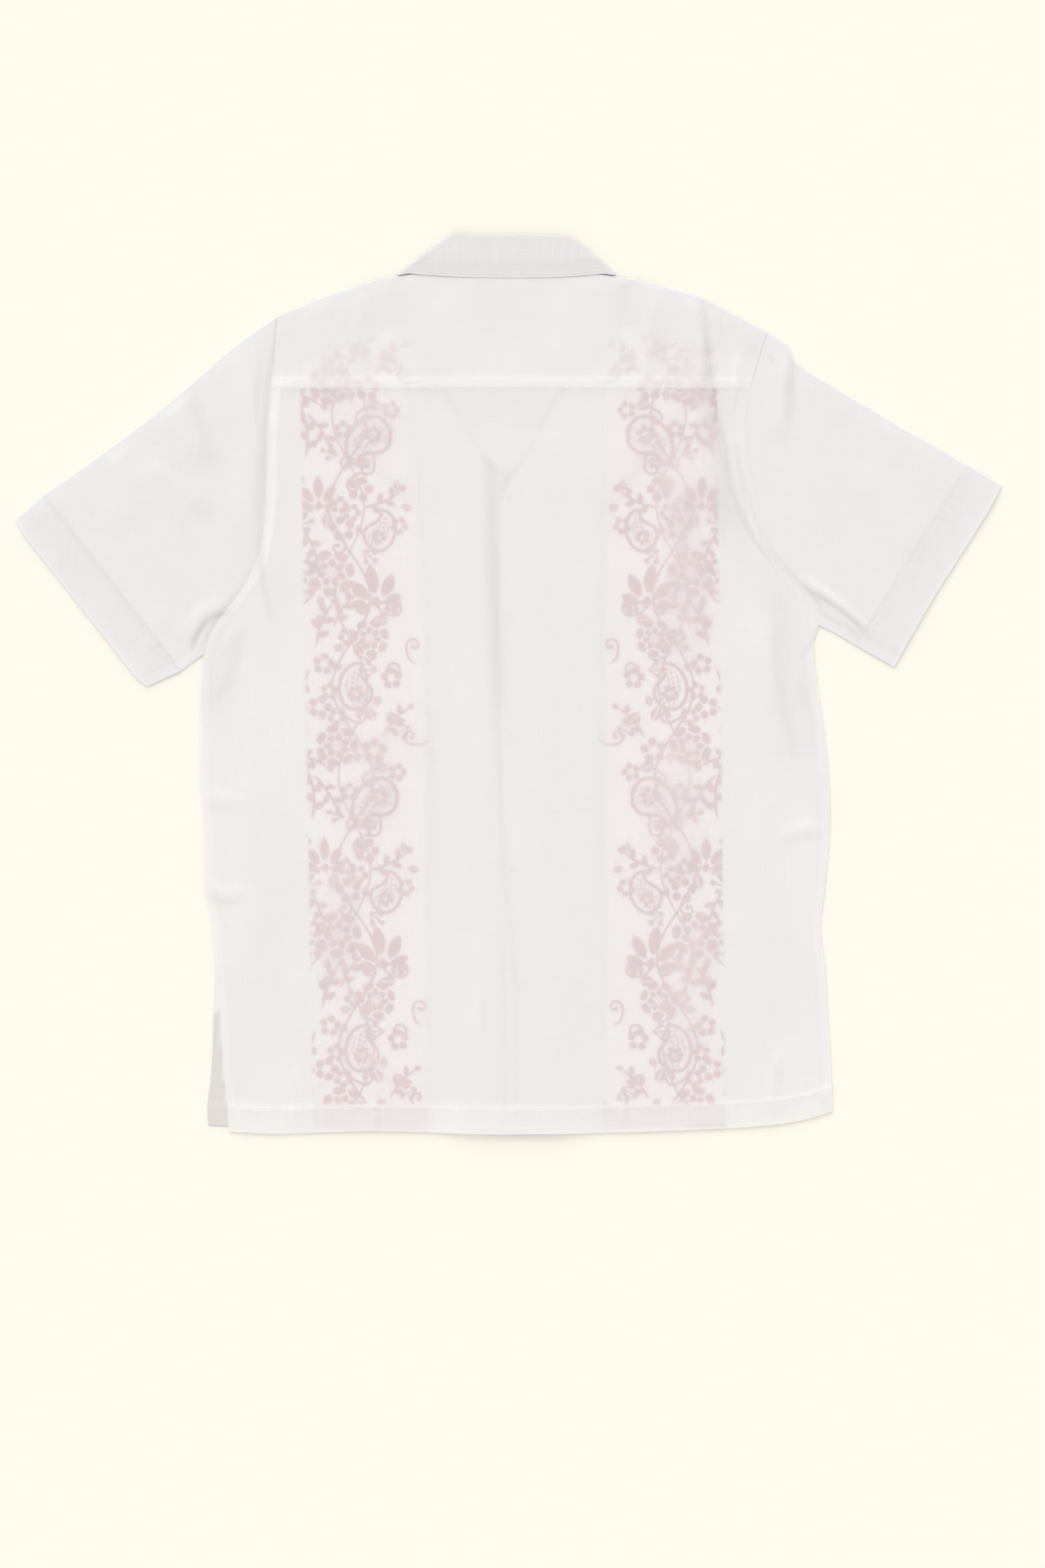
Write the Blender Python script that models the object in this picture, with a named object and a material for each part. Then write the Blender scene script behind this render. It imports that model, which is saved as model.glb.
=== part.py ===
# A short-sleeved camp-collar shirt of sheer white cotton, laid flat with its back up.
# Metres, +Z up, collar towards +Y. The fronts lie on the surface at z = 0, the back lies on them,
# and x runs from the wearer's left side (negative) to the right side.

import math

import bmesh
import bpy
from mathutils import Vector

MM = 0.001

# Cloth, in millimetres
CLOTH = 1.0                 # a single wall
DOUBLE = 1.2                # centre fronts, doubled by their turned facing
GAP = 0.3                   # between pieces that are sewn together or lie on each other
HEM_STEP = 0.4              # a turned hem stands this much above single cloth
STEP_RUN = 1.0              # over this distance

# The tables below are measured from the middle of the chest, and this centres the shirt on its box
SHIFT_Y = 0.95

# Buttons
BUTTON_RADIUS = 5.5
BUTTON_HEIGHT = 1.8
BUTTON_RIM = 1.1            # width of the rim round the dished face
BUTTON_RIM_DRAFT = 0.4      # the rim leans in this much towards the face
BUTTON_DISH = 0.5
BUTTON_DISH_SLOPE = 0.5
BUTTON_BACK = (1.2, 0.7)    # chamfer round the back, across and up
BUTTON_SIDES = 20
BUTTON_PLACES = [(0.3, 157.5), (0.9, 54.6), (2.8, -50.2), (2.8, -160.0), (8.4, -261.6)]

# Sides of the back, from the hem up to the underarm: left x, left y, right x, right y
BODY_SIDES = [
    (-240.3, -384.7, 277.5, -367.5),
    (-241.0, -364.8, 276.6, -348.0),
    (-241.1, -363.8, 276.5, -347.0),
    (-244.5, -330.0, 275.2, -316.0),
    (-247.4, -282.7, 272.9, -280.0),
    (-251.6, -240.0, 270.6, -242.4),
    (-255.8, -196.0, 266.9, -211.4),
    (-260.7, -180.0, 270.6, -175.0),
    (-260.7, -134.0, 274.4, -134.0),
    (-264.0, -88.0, 274.6, -92.0),
    (-264.4, -41.0, 270.8, -50.0),
    (-264.0, -10.0, 263.2, 5.6),
    (-262.8, 12.0, 261.2, 35.0),
    (-261.3, 24.2, 265.7, 49.0),
]
# The left front shows past the back below the side vent: its own lower rows, x and y
FRONT_VENT_LEFT = [(-257.6, -379.0), (-258.1, -364.8), (-258.1, -363.8), (-254.5, -330.0), (-252.7, -282.7)]
FRONT_TUCK = 0.6            # elsewhere the front's side lies this far inside the back's

# Armhole seam, from the underarm up to the yoke seam: left x, left y, right x, right y
ARMHOLE = [
    (-261.3, 24.2, 265.7, 49.0),
    (-256.0, 42.0, 265.0, 66.0),
    (-246.0, 58.0, 252.0, 82.0),
    (-234.7, 72.0, 238.0, 98.0),
    (-222.0, 92.0, 223.5, 118.0),
    (-213.6, 116.0, 213.5, 148.0),
    (-209.0, 148.0, 207.0, 184.0),
    (-208.0, 184.0, 202.5, 218.0),
    (-207.2, 222.0, 203.5, 236.0),
    (-203.9, 251.7, 206.0, 251.7),
]
SHOULDER_END = {"left": (-199.3, 313.7), "right": (221.7, 300.7)}
YOKE_SEAM_Y = 251.7

# Shoulder fold, from the armhole to the neck point
SHOULDER_FOLD = {
    "left": [(-199.3, 313.7), (-157.8, 331.1), (-113.8, 345.4), (-96.0, 348.2), (-72.0, 351.5)],
    "right": [(221.7, 300.7), (193.1, 315.6), (162.8, 331.1), (115.0, 344.2), (94.0, 347.6), (76.0, 350.5)],
}
# Forward shoulder seam, where the yoke meets the fronts, from the armhole to the neck
FRONT_SEAM = {
    "left": [(-203.0, 264.3), (-86.0, 308.0)],
    "right": [(213.8, 276.0), (88.0, 307.2)],
}
BACK_NECK = [(-72.0, 351.5), (-40.0, 352.4), (0.0, 352.6), (40.0, 352.0), (76.0, 350.5)]
NECK_SPREAD = 6.0           # the yoke's neck columns spread this much towards the yoke seam
SHOULDER_RUN = 130.0        # about the length of a shoulder

# Embroidered band: its straight outer seam, hem to shoulder, and its inner seam as y, left x, right x
BAND_OUTER = {"left": ((-167.3, -384.0), (-179.3, 273.2)), "right": ((186.0, -384.0), (178.0, 285.0))}
BAND_INNER = [
    (-384.0, -69.0, 81.0),
    (-190.0, -69.5, 80.5),
    (0.0, -70.0, 80.0),
    (139.0, -75.6, 80.0),
    (200.0, -81.5, 80.8),
    (251.0, -88.0, 84.0),
    (303.2, -98.9, 103.9),
]

# Hem: the lower edge of the back, left to right
BACK_HEM = [(-240.3, -384.7), (-198.0, -386.2), (-115.0, -384.2), (4.0, -386.6), (160.9, -382.9),
            (239.0, -377.2), (277.5, -367.5)]
FRONT_HEM_Y = -383.0        # the fronts' hem lies just inside the back's
FRONT_HEM_RIGHT = [(-2.0, -383.0), (81.0, -382.6), (160.0, -379.6), (186.0, -377.6), (238.0, -374.4),
                   (276.9, -366.2)]

# Centre fronts, hem to shoulder: y on the band seam, front edge or roll line x and y,
# and for the rows with a turned revers its outer edge x and y
LEFT_CENTRE = [
    (-383.0, 18.0, -383.2, None),
    (-300.0, 18.0, -300.0, None),
    (-200.0, 18.0, -200.0, None),
    (-100.0, 18.0, -100.0, None),
    (-20.0, 18.0, -20.0, None),
    (50.0, 18.0, 50.0, None),
    (100.0, 18.0, 104.0, None),
    (132.0, 18.0, 138.0, None),
    (150.0, 18.0, 158.0, None),
    (160.0, 15.0, 168.0, None),
    (168.0, 8.0, 174.0, (-2.0, 170.5)),
    (180.0, -6.0, 184.0, (-27.0, 177.0)),
    (198.0, -20.0, 199.0, (-55.0, 191.0)),
    (220.0, -34.0, 221.0, (-81.0, 211.0)),
    (240.0, -47.0, 245.0, (-99.0, 233.0)),
    (254.0, -56.0, 260.0, (-105.0, 247.0)),
    (264.0, -64.0, 271.0, (-104.0, 255.5)),
    (276.0, -73.0, 281.0, None),
    (289.0, -81.0, 293.0, None),
    (303.2, -86.0, 308.0, None),
]
RIGHT_CENTRE = [
    (-382.6, -2.0, -383.2, None),
    (-300.0, -2.6, -300.0, None),
    (-200.0, -4.0, -200.0, None),
    (-100.0, -6.0, -100.0, None),
    (-20.0, -8.0, -20.0, None),
    (50.0, -9.2, 50.0, None),
    (100.0, -9.8, 104.0, None),
    (132.0, -10.2, 138.0, None),
    (150.0, -10.0, 154.0, None),
    (160.0, -7.5, 164.0, None),
    (169.0, -3.5, 173.0, None),
    (180.0, 1.5, 181.5, (12.0, 178.5)),
    (192.0, 9.0, 194.0, (34.0, 186.0)),
    (208.0, 18.0, 210.0, (60.0, 199.0)),
    (226.0, 28.0, 229.0, (85.0, 217.0)),
    (244.0, 40.0, 250.0, (104.0, 238.0)),
    (255.0, 51.0, 262.0, (109.0, 249.0)),
    (264.0, 67.0, 271.0, (107.0, 256.0)),
    (276.0, 76.0, 281.0, None),
    (289.0, 83.5, 293.0, None),
    (303.2, 88.0, 307.2, None),
]
CENTRE_SHARES = [0.0, 0.17, 0.33, 0.42, 0.5, 0.58, 0.66, 0.82, 1.0]

# Camp collar. The back of it from side to side: roll line, outer edge and neck seam share the columns
COLLAR_ROLL = [(-50.5, 385.0), (56.7, 381.9)]
COLLAR_EDGE = [(-96.4, 350.9), (-48.0, 347.6), (-2.2, 346.6), (46.0, 347.4), (92.1, 350.9)]
COLLAR_BACK_CELLS = 9
# Each leaf on the front side, shoulder to point: roll x, roll y, edge x, edge y, seam x, seam y
COLLAR_LEAF = {
    "left": [
        (-57.0, 364.0, -108.0, 333.0, -74.6, 340.7),
        (-64.5, 338.0, -117.0, 314.0, -80.4, 322.7),
        (-67.0, 312.0, -121.0, 296.0, -84.0, 303.2),
        (-62.5, 282.0, -119.0, 272.5, -73.2, 282.3),
    ],
    "right": [
        (62.5, 362.0, 106.0, 333.0, 78.2, 339.7),
        (69.0, 337.0, 118.0, 314.0, 82.9, 322.7),
        (71.5, 312.0, 123.0, 296.0, 86.2, 303.2),
        (66.5, 282.0, 121.5, 272.5, 76.0, 282.3),
    ],
}
# Layers of the collar counted from the middle of its four thicknesses
COLLAR_AXIS = 2.75
FALL_OUT = 2.75
FALL_IN = 1.75
STAND_OUT = 0.45
STAND_IN = 1.45

# What the collar and the revers cover on the floor side: y, left edge x, right edge x
COLLAR_REACH = [
    (160.0, 20.0, -10.0),
    (172.0, -8.0, 0.0),
    (182.0, -36.0, 22.0),
    (192.0, -57.0, 46.0),
    (212.0, -83.0, 80.0),
    (234.0, -101.0, 102.0),
    (249.0, -107.0, 111.0),
    (262.0, -116.0, 119.0),
    (275.0, -121.0, 124.0),
    (296.0, -122.0, 125.0),
    (316.0, -117.0, 119.0),
    (335.0, -108.0, 106.0),
    (352.0, -96.0, 92.0),
    (385.0, -50.0, 56.0),
]
REACH_MARGIN = 20.0
REACH_FADE = 20.0
COLLAR_LIFT = CLOTH + GAP
COLLAR_STACK = 3.2          # underside of the back where it lies over the collar and the fronts
COVER_START_Y = 132.0       # below this the fronts lie on the surface, and over the next run they rise
COVER_RUN = 22.0
DOUBLED_HALF = 100.0        # the doubled centre fronts reach this far to either side
DOUBLED_FADE = 30.0

# Button stand: the left front lies over the buttons, the right front over the left.
# The rise ends this far above the last button, over the run that follows
STRIP_TOP_Y = 172.0
STRIP_RUN = 30.0
LEFT_STRIP = {"lift": BUTTON_HEIGHT + GAP, "low": -12.0, "high": 60.0, "fade": 28.0, "above": 28.0}
RIGHT_STRIP = {"lift": BUTTON_HEIGHT + DOUBLE + 2 * GAP, "low": -60.0, "high": 24.0, "fade": 30.0, "above": 40.0}
BACK_STRIP = {"lift": BUTTON_HEIGHT + 2 * DOUBLE + 3 * GAP, "low": -24.0, "high": 32.0, "fade": 46.0, "above": 70.0}

# Sleeves: the top fold and the underarm fold from armhole to hem line, then the cuff's two ends
SLEEVE_TOP = {
    "left": [(-239.6, 284.6), (-293.0, 238.1), (-355.0, 191.6), (-398.6, 160.8)],
    "right": [(240.5, 287.4), (246.0, 274.5), (278.7, 253.6), (330.2, 222.6), (393.6, 186.3)],
}
SLEEVE_UNDER = {
    "left": [(-270.0, 18.4), (-281.3, 9.4)],
    "right": [(279.0, 42.6), (298.0, 31.4)],
}
CUFF = {
    "left": [(-422.5, 140.1), (-416.3, 128.0), (-393.4, 98.6), (-369.2, 67.6), (-344.4, 36.6),
             (-318.4, 4.0), (-309.5, -3.2)],
    "right": [(422.5, 169.3), (416.0, 156.0), (400.2, 129.6), (380.4, 98.6), (361.1, 67.6),
              (343.2, 36.6), (330.0, 13.2)],
}
SLEEVE_ROWS = 7             # from armhole to hem line
CAP_POWER = 1.5             # how fast the rows straighten away from the curved armhole
SEAM_CALM = 0.15            # share of a fold's height at the armhole seam
SEAM_CALM_ROWS = 1.5        # rows over which folds rise away from the seam

# Neck label under the yoke: its sides and ends, and how its lower end is rounded
LABEL_LEFT = -24.5
LABEL_RIGHT = 15.2
LABEL_LOW = 298.8
LABEL_HIGH = 340.4
LABEL_ROUND = 8.0
LABEL_ROUND_SHARE = 0.3
LABEL_BOW = 0.2
LABEL_ROWS = 6

# Soft folds in the upper layer: half width, height, and the crest as x, y points
FOLDS = [
    (13.0, 4.6, [(158.0, 326.0), (170.0, 285.0), (180.0, 240.0), (190.0, 196.0), (204.0, 150.0), (222.0, 112.0)]),
    (12.0, 3.6, [(190.0, 262.0), (197.0, 205.0), (212.0, 158.0), (236.0, 110.0)]),
    (15.0, 4.2, [(224.0, 78.0), (230.0, 34.0), (238.0, -12.0), (250.0, -52.0)]),
    (12.0, 3.2, [(-201.0, 292.0), (-199.0, 240.0), (-200.0, 180.0), (-204.0, 120.0), (-196.0, 58.0)]),
    (13.0, 3.4, [(-236.0, 62.0), (-243.0, 30.0), (-250.0, -14.0)]),
    (20.0, 2.2, [(-62.0, 236.0), (-58.0, 100.0), (-64.0, -60.0), (-58.0, -230.0), (-64.0, -350.0)]),
    (20.0, 2.0, [(70.0, 236.0), (72.0, 90.0), (66.0, -90.0), (68.0, -260.0), (74.0, -345.0)]),
    (18.0, 2.4, [(118.0, 205.0), (110.0, 120.0), (112.0, 40.0)]),
    (22.0, 2.4, [(218.0, -70.0), (214.0, -170.0), (226.0, -290.0)]),
    (20.0, 2.2, [(-222.0, -60.0), (-214.0, -170.0), (-228.0, -300.0)]),
    (16.0, 2.4, [(-252.0, -186.0), (-222.0, -194.0), (-190.0, -186.0)]),
    (14.0, 3.0, [(-276.0, 244.0), (-262.0, 214.0), (-254.0, 182.0)]),
    (15.0, 2.6, [(-300.0, 170.0), (-276.0, 152.0), (-250.0, 140.0)]),
    (12.0, 3.0, [(-262.0, 52.0), (-276.0, 36.0), (-292.0, 20.0)]),
    (13.0, 3.2, [(236.0, 272.0), (232.0, 236.0), (236.0, 196.0)]),
    (11.0, 3.0, [(262.0, 84.0), (282.0, 64.0), (308.0, 44.0)]),
    (15.0, 2.0, [(300.0, 190.0), (330.0, 150.0), (352.0, 112.0)]),
]
FOLD_EDGE = 12.0            # folds die out this far from a folded or sewn edge
FOLD_SPREAD = 1.6           # a fold's foot lies this many half widths from its crest
FOLD_TAPER = 0.3            # share of its length over which a fold rises from each end
FOLD_BLUNT = 0.25           # and where on that rise it starts

WHITE = (0.86, 0.85, 0.83, 1.0)
COLLAR_WHITE = (0.80, 0.79, 0.77, 1.0)
ROSE = (0.66, 0.46, 0.48, 1.0)
SHELL = (0.78, 0.74, 0.68, 1.0)
LABEL = (0.80, 0.66, 0.62, 1.0)


# Small tools

def ease(share):
    """Smooth step from 0 to 1."""
    share = min(max(share, 0.0), 1.0)
    return share * share * (3.0 - 2.0 * share)


def plateau(x, low, high, fade):
    """1 between low and high, falling smoothly to 0 over the fade on either side."""
    return ease((x - low + fade) / fade) * ease((high + fade - x) / fade)


def mix(a, b, share):
    return tuple(p + (q - p) * share for p, q in zip(a, b))


def unit(a, b):
    """Plan direction from a to b, of length 1."""
    length = math.dist(a, b)
    return ((b[0] - a[0]) / length, (b[1] - a[1]) / length)


def look_up(table, key, column):
    """Value of a column where the table's first column, which rises, passes the key."""
    if key <= table[0][0]:
        return table[0][column]
    for low, high in zip(table, table[1:]):
        if key <= high[0]:
            share = (key - low[0]) / (high[0] - low[0])
            return low[column] + (high[column] - low[column]) * share
    return table[-1][column]


def along(points, shares):
    """Plan points at shares of the length of a smooth line through the points."""
    stops = [0.0]
    for a, b in zip(points, points[1:]):
        stops.append(stops[-1] + math.dist(a, b))
    slopes = []
    for i in range(len(points)):
        before = max(i - 1, 0)
        after = min(i + 1, len(points) - 1)
        span = stops[after] - stops[before]
        slopes.append(tuple((q - p) / span for p, q in zip(points[before], points[after])))
    found = []
    for share in shares:
        s = share * stops[-1]
        i = 0
        while i < len(points) - 2 and s > stops[i + 1]:
            i += 1
        h = stops[i + 1] - stops[i]
        u = (s - stops[i]) / h
        start = (1 + 2 * u) * (1 - u) ** 2
        leave = u * (1 - u) ** 2 * h
        end = u * u * (3 - 2 * u)
        arrive = u * u * (u - 1) * h
        found.append(tuple(start * p + leave * m + end * q + arrive * n
                           for p, m, q, n in zip(points[i], slopes[i], points[i + 1], slopes[i + 1])))
    return found


def even(cells):
    return [i / cells for i in range(cells + 1)]


def fill(left, right, low, high, shares):
    """Plan grid between four edges: left and right give a point for each row, low and high for each column."""
    rows = []
    last = len(left) - 1
    for j, (a, b) in enumerate(zip(left, right)):
        up = j / last
        row = []
        for i, share in enumerate(shares):
            point = mix(a, b, share)
            for edge, corner_a, corner_b, weight in ((low, left[0], right[0], (1 - up) ** 3),
                                                     (high, left[-1], right[-1], up ** 3)):
                if edge is not None:
                    straight = mix(corner_a, corner_b, share)
                    point = tuple(p + (e - s) * weight for p, e, s in zip(point, edge[i], straight))
            row.append(point)
        rows.append(row)
    return rows


# Heights of the layers above the surface

def collar_cover(x, y, margin):
    """1 where the collar or a revers lies underneath, fading out beyond the margin."""
    left = look_up(COLLAR_REACH, y, 1) - margin
    right = look_up(COLLAR_REACH, y, 2) + margin
    across = plateau(x, left, right, REACH_FADE)
    return across * ease((y - COVER_START_Y) / COVER_RUN)


def strip_lift(x, y, strip):
    """Rise over the button stand, which ends above the first button."""
    across = plateau(x, strip["low"], strip["high"], strip["fade"])
    return strip["lift"] * across * ease((STRIP_TOP_Y + strip["above"] - y) / STRIP_RUN)


def front_under(side, x, y):
    """Underside of the front layer: on the surface, or over collar, revers, buttons or the other front."""
    strip = LEFT_STRIP if side == "left" else RIGHT_STRIP
    return max(COLLAR_LIFT * collar_cover(x, y, REACH_MARGIN), strip_lift(x, y, strip))


def back_rest(x, y):
    """Underside of the upper layer where it lies on what is below it."""
    flat = CLOTH + GAP + (DOUBLE - CLOTH) * plateau(x, -DOUBLED_HALF, DOUBLED_HALF, DOUBLED_FADE)
    over_collar = (COLLAR_STACK - flat) * collar_cover(x, y, REACH_MARGIN + REACH_FADE)
    over_strip = strip_lift(x, y, BACK_STRIP)
    return flat + max(over_collar, over_strip - flat * (over_strip / BACK_STRIP["lift"]))


def fold_lift(x, y):
    """Height that the soft folds add."""
    lift = 0.0
    for half, height, crest in FOLDS:
        best = None
        total = 0.0
        for a, b in zip(crest, crest[1:]):
            run = math.dist(a, b)
            ux, uy = unit(a, b)
            s = min(max((x - a[0]) * ux + (y - a[1]) * uy, 0.0), run)
            away = math.dist((x, y), (a[0] + ux * s, a[1] + uy * s))
            if best is None or away < best[0]:
                best = (away, total + s)
            total += run
        away, place = best
        ends = ease(min(place, total - place) / (FOLD_TAPER * total) + FOLD_BLUNT)
        lift = max(lift, height * ends * (1.0 - ease(away / half / FOLD_SPREAD)))
    return lift


def back_under(x, y, calm=1.0):
    """Underside of the upper layer with its folds; calm fades the folds at an edge."""
    return back_rest(x, y) + fold_lift(x, y) * calm


# Making closed bodies

def to_world(point):
    x, y, z = point
    return Vector((x, y + SHIFT_Y, z)) * MM


def closed_wall(name, outer, inner, material, present=None, ring=False):
    """One closed body between two grids of points of the same size.

    present says which cells exist; ring joins the last column to the first.
    """
    rows = len(outer)
    columns = len(outer[0])
    cell_columns = columns if ring else columns - 1
    if present is None:
        present = [[True] * cell_columns for _ in range(rows - 1)]
    shape = bmesh.new()
    made = {}

    def vertex(layer, j, i):
        i %= columns
        key = (layer, j, i)
        if key not in made:
            grid = outer if layer == 0 else inner
            made[key] = shape.verts.new(to_world(grid[j][i]))
        return made[key]

    def exists(j, i):
        if ring:
            i %= columns
        if j < 0 or i < 0 or j >= rows - 1 or i >= cell_columns:
            return False
        return present[j][i]

    for j in range(rows - 1):
        for i in range(cell_columns):
            if not present[j][i]:
                continue
            corners = [(j, i), (j, i + 1), (j + 1, i + 1), (j + 1, i)]
            shape.faces.new([vertex(0, *c) for c in corners])
            shape.faces.new([vertex(1, *c) for c in reversed(corners)])
            beyond = [(j - 1, i), (j, i + 1), (j + 1, i), (j, i - 1)]
            for k, neighbour in enumerate(beyond):
                if not exists(*neighbour):
                    a = corners[k]
                    b = corners[(k + 1) % 4]
                    shape.faces.new([vertex(0, *b), vertex(0, *a), vertex(1, *a), vertex(1, *b)])
    bmesh.ops.recalc_face_normals(shape, faces=shape.faces)
    bmesh.ops.triangulate(shape, faces=shape.faces)
    mesh = bpy.data.meshes.new(name)
    shape.to_mesh(mesh)
    shape.free()
    mesh.shade_smooth()
    mesh.set_sharp_from_angle(angle=math.radians(40))
    mesh.materials.append(material)
    piece = bpy.data.objects.new(name, mesh)
    bpy.context.scene.collection.objects.link(piece)
    return piece


def cloth_material(name, colour, roughness):
    material = bpy.data.materials.new(name)
    material.use_nodes = True
    shader = material.node_tree.nodes["Principled BSDF"]
    shader.inputs["Base Color"].default_value = colour
    shader.inputs["Roughness"].default_value = roughness
    shader.inputs["Metallic"].default_value = 0.0
    return material


def half_turn(centre, outward, radius, angles):
    """Points of a half turn in the upright plane through the plan direction, top to bottom."""
    cx, cy, cz = centre
    return [(cx + outward[0] * radius * math.sin(a), cy + outward[1] * radius * math.sin(a),
             cz + radius * math.cos(a)) for a in angles]


TURN = [math.radians(a) for a in (45.0, 90.0, 135.0)]


# Armhole lines

def side_columns(side):
    return (0, 1) if side == "left" else (2, 3)


def armhole_line(side, shift=0.0):
    """Seam points from the underarm to the shoulder; shift moves them away from the body."""
    x, y = side_columns(side)
    points = [(row[x], row[y]) for row in ARMHOLE]
    yoke_start = points[-1]
    points += [mix(yoke_start, SHOULDER_END[side], share) for share in (0.34, 0.67, 1.0)]
    away = -shift if side == "left" else shift
    return [(px + away, py) for px, py in points]


# Back panel

def edge_calm(share, width):
    """Fades folds near the two side edges of a row of this width."""
    return ease(min(share, 1.0 - share) * width / FOLD_EDGE)


def make_back(material):
    stations = [0.0, 0.035, 0.07, 0.11, 0.15, 0.19, 0.23, 0.27, 0.31, 0.345, 0.375, 0.405, 0.435, 0.465, 0.5,
                0.535, 0.565, 0.595, 0.625, 0.655, 0.69, 0.73, 0.77, 0.81, 0.85, 0.89, 0.93, 0.965, 1.0]
    left = [(row[0], row[1]) for row in BODY_SIDES]
    right = [(row[2], row[3]) for row in BODY_SIDES]
    left += [(row[0], row[1]) for row in ARMHOLE[1:]]
    right += [(row[2], row[3]) for row in ARMHOLE[1:]]
    left[-1] = (left[-1][0], YOKE_SEAM_Y - GAP)
    right[-1] = (right[-1][0], YOKE_SEAM_Y - GAP)
    grid = fill(left, right, along(BACK_HEM, stations), None, stations)
    outer = []
    inner = []
    for j, row in enumerate(grid):
        step = HEM_STEP if j < 2 else 0.0
        width = math.dist(row[0], row[-1])
        upper = []
        lower = []
        for share, (x, y) in zip(stations, row):
            z = back_under(x, y, edge_calm(share, width))
            lower.append((x, y, z))
            upper.append((x, y, z + CLOTH + step))
        outer.append(upper)
        inner.append(lower)
    return closed_wall("back_panel", outer, inner, material)


# Yoke

def yoke_column(low, fold, front, side, outward, neck, rows_back, rows_front):
    """One profile of the yoke, from the back seam over the shoulder to the front seam."""
    upper = []
    lower = []
    top = back_under(fold[0], fold[1], 0.0) + CLOTH
    under = front_under(side, fold[0], fold[1]) if front else 0.0
    radius = (top - under) / 2
    centre = fold
    if front:
        centre = (fold[0] - outward[0] * radius, fold[1] - outward[1] * radius)
    length = math.dist(low, centre)
    for share in even(rows_back):
        x, y = mix(low, centre, share)
        calm = ease((1.0 - share) * length / FOLD_EDGE)
        z = back_under(x, y, calm * neck)
        if share == 1.0:
            z = top - CLOTH
        lower.append((x, y, z))
        upper.append((x, y, z + CLOTH))
    if front:
        middle = (centre[0], centre[1], (top + under) / 2)
        upper += half_turn(middle, outward, radius, TURN)
        lower += half_turn(middle, outward, radius - CLOTH, TURN)
        for share in even(rows_front):
            x, y = mix(centre, front, share)
            z = under if share == 0.0 else front_under(side, x, y)
            upper.append((x, y, z))
            lower.append((x, y, z + CLOTH))
    return upper, lower


def make_yoke(material):
    rows_back = 5
    rows_front = 3
    shoulder_cells = 10
    neck_cells = 8
    neck_x = {"left": BACK_NECK[0][0] - NECK_SPREAD, "right": BACK_NECK[-1][0] + NECK_SPREAD}
    columns = []
    for side in ("left", "right"):
        shares = even(shoulder_cells)
        folds = along(SHOULDER_FOLD[side], shares)
        fronts = along(FRONT_SEAM[side], shares)
        arm_x = armhole_line(side)[len(ARMHOLE) - 1][0]
        group = []
        for k, share in enumerate(shares):
            before = folds[max(k - 1, 0)]
            after = folds[min(k + 1, shoulder_cells)]
            tx, ty = unit(before, after)
            outward = (-ty, tx) if side == "left" else (ty, -tx)
            low = (arm_x + (neck_x[side] - arm_x) * share, YOKE_SEAM_Y)
            calm = ease(share * SHOULDER_RUN / FOLD_EDGE)
            group.append(yoke_column(low, folds[k], fronts[k], side, outward, calm, rows_back, rows_front))
        if side == "left":
            columns += group
            neck = along(BACK_NECK, even(neck_cells))
            for k in range(1, neck_cells):
                low = (neck_x["left"] + (neck_x["right"] - neck_x["left"]) * k / neck_cells, YOKE_SEAM_Y)
                columns.append(yoke_column(low, neck[k], None, side, None, 1.0, rows_back, rows_front))
        else:
            columns += reversed(group)
    longest = len(columns[0][0])
    filled = []
    for upper, lower in columns:
        spare = longest - len(upper)
        filled.append((upper + [upper[-1]] * spare, lower + [lower[-1]] * spare))
    cells = len(filled) - 1
    present = []
    for j in range(longest - 1):
        whole = j < rows_back
        present.append([whole or i < shoulder_cells or i >= cells - shoulder_cells for i in range(cells)])
    outer = [[upper[j] for upper, _ in filled] for j in range(longest)]
    inner = [[lower[j] for _, lower in filled] for j in range(longest)]
    return closed_wall("yoke", outer, inner, material, present)


# Fronts

def band_outer_at(side, y):
    (x0, y0), (x1, y1) = BAND_OUTER[side]
    return (x0 + (x1 - x0) * (y - y0) / (y1 - y0), y)


def shoulder_at(side, x):
    """Point of the forward shoulder seam at x, one gap below the yoke."""
    (x0, y0), (x1, y1) = FRONT_SEAM[side]
    return (x, y0 + (y1 - y0) * (x - x0) / (x1 - x0) - GAP)


def hem_at(side, x):
    if side == "left":
        return (x, FRONT_HEM_Y)
    return (x, look_up(FRONT_HEM_RIGHT, x, 1))


def flat_wall(name, side, grid, thick, material):
    """A front piece: its underside on what lies below it, its top one thickness above."""
    lower = [[(x, y, front_under(side, x, y)) for x, y in row] for row in grid]
    upper = [[(x, y, z + thick) for x, y, z in row] for row in lower]
    return closed_wall(name, upper, lower, material)


def make_side_front(side, material):
    out = -1.0 if side == "left" else 1.0
    x, y = side_columns(side)
    edge = [(row[x] - out * FRONT_TUCK, row[y]) for row in BODY_SIDES]
    if side == "left":
        edge[:len(FRONT_VENT_LEFT)] = FRONT_VENT_LEFT
    else:
        edge[0] = FRONT_HEM_RIGHT[-1]
    edge[-1] = (ARMHOLE[0][x], ARMHOLE[0][y])
    edge += [(row[x], row[y]) for row in ARMHOLE[1:]]
    edge.append((FRONT_SEAM[side][0][0], FRONT_SEAM[side][0][1] - GAP))
    seam = [band_outer_at(side, py) for _, py in edge]
    low_x = band_outer_at(side, FRONT_HEM_Y)[0] + out * GAP / 2
    seam[0] = hem_at(side, low_x)
    top_x = band_outer_at(side, FRONT_SEAM[side][0][1])[0]
    seam[-1] = shoulder_at(side, top_x)
    seam = [(px + out * GAP / 2, py) for px, py in seam]
    shares = even(5)
    grid = fill(edge, seam, None, None, shares)
    return flat_wall("front_side_" + side, side, grid, CLOTH, material)


def band_inner_at(side, y):
    return (look_up(BAND_INNER, y, 1 if side == "left" else 2), y)


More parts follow.
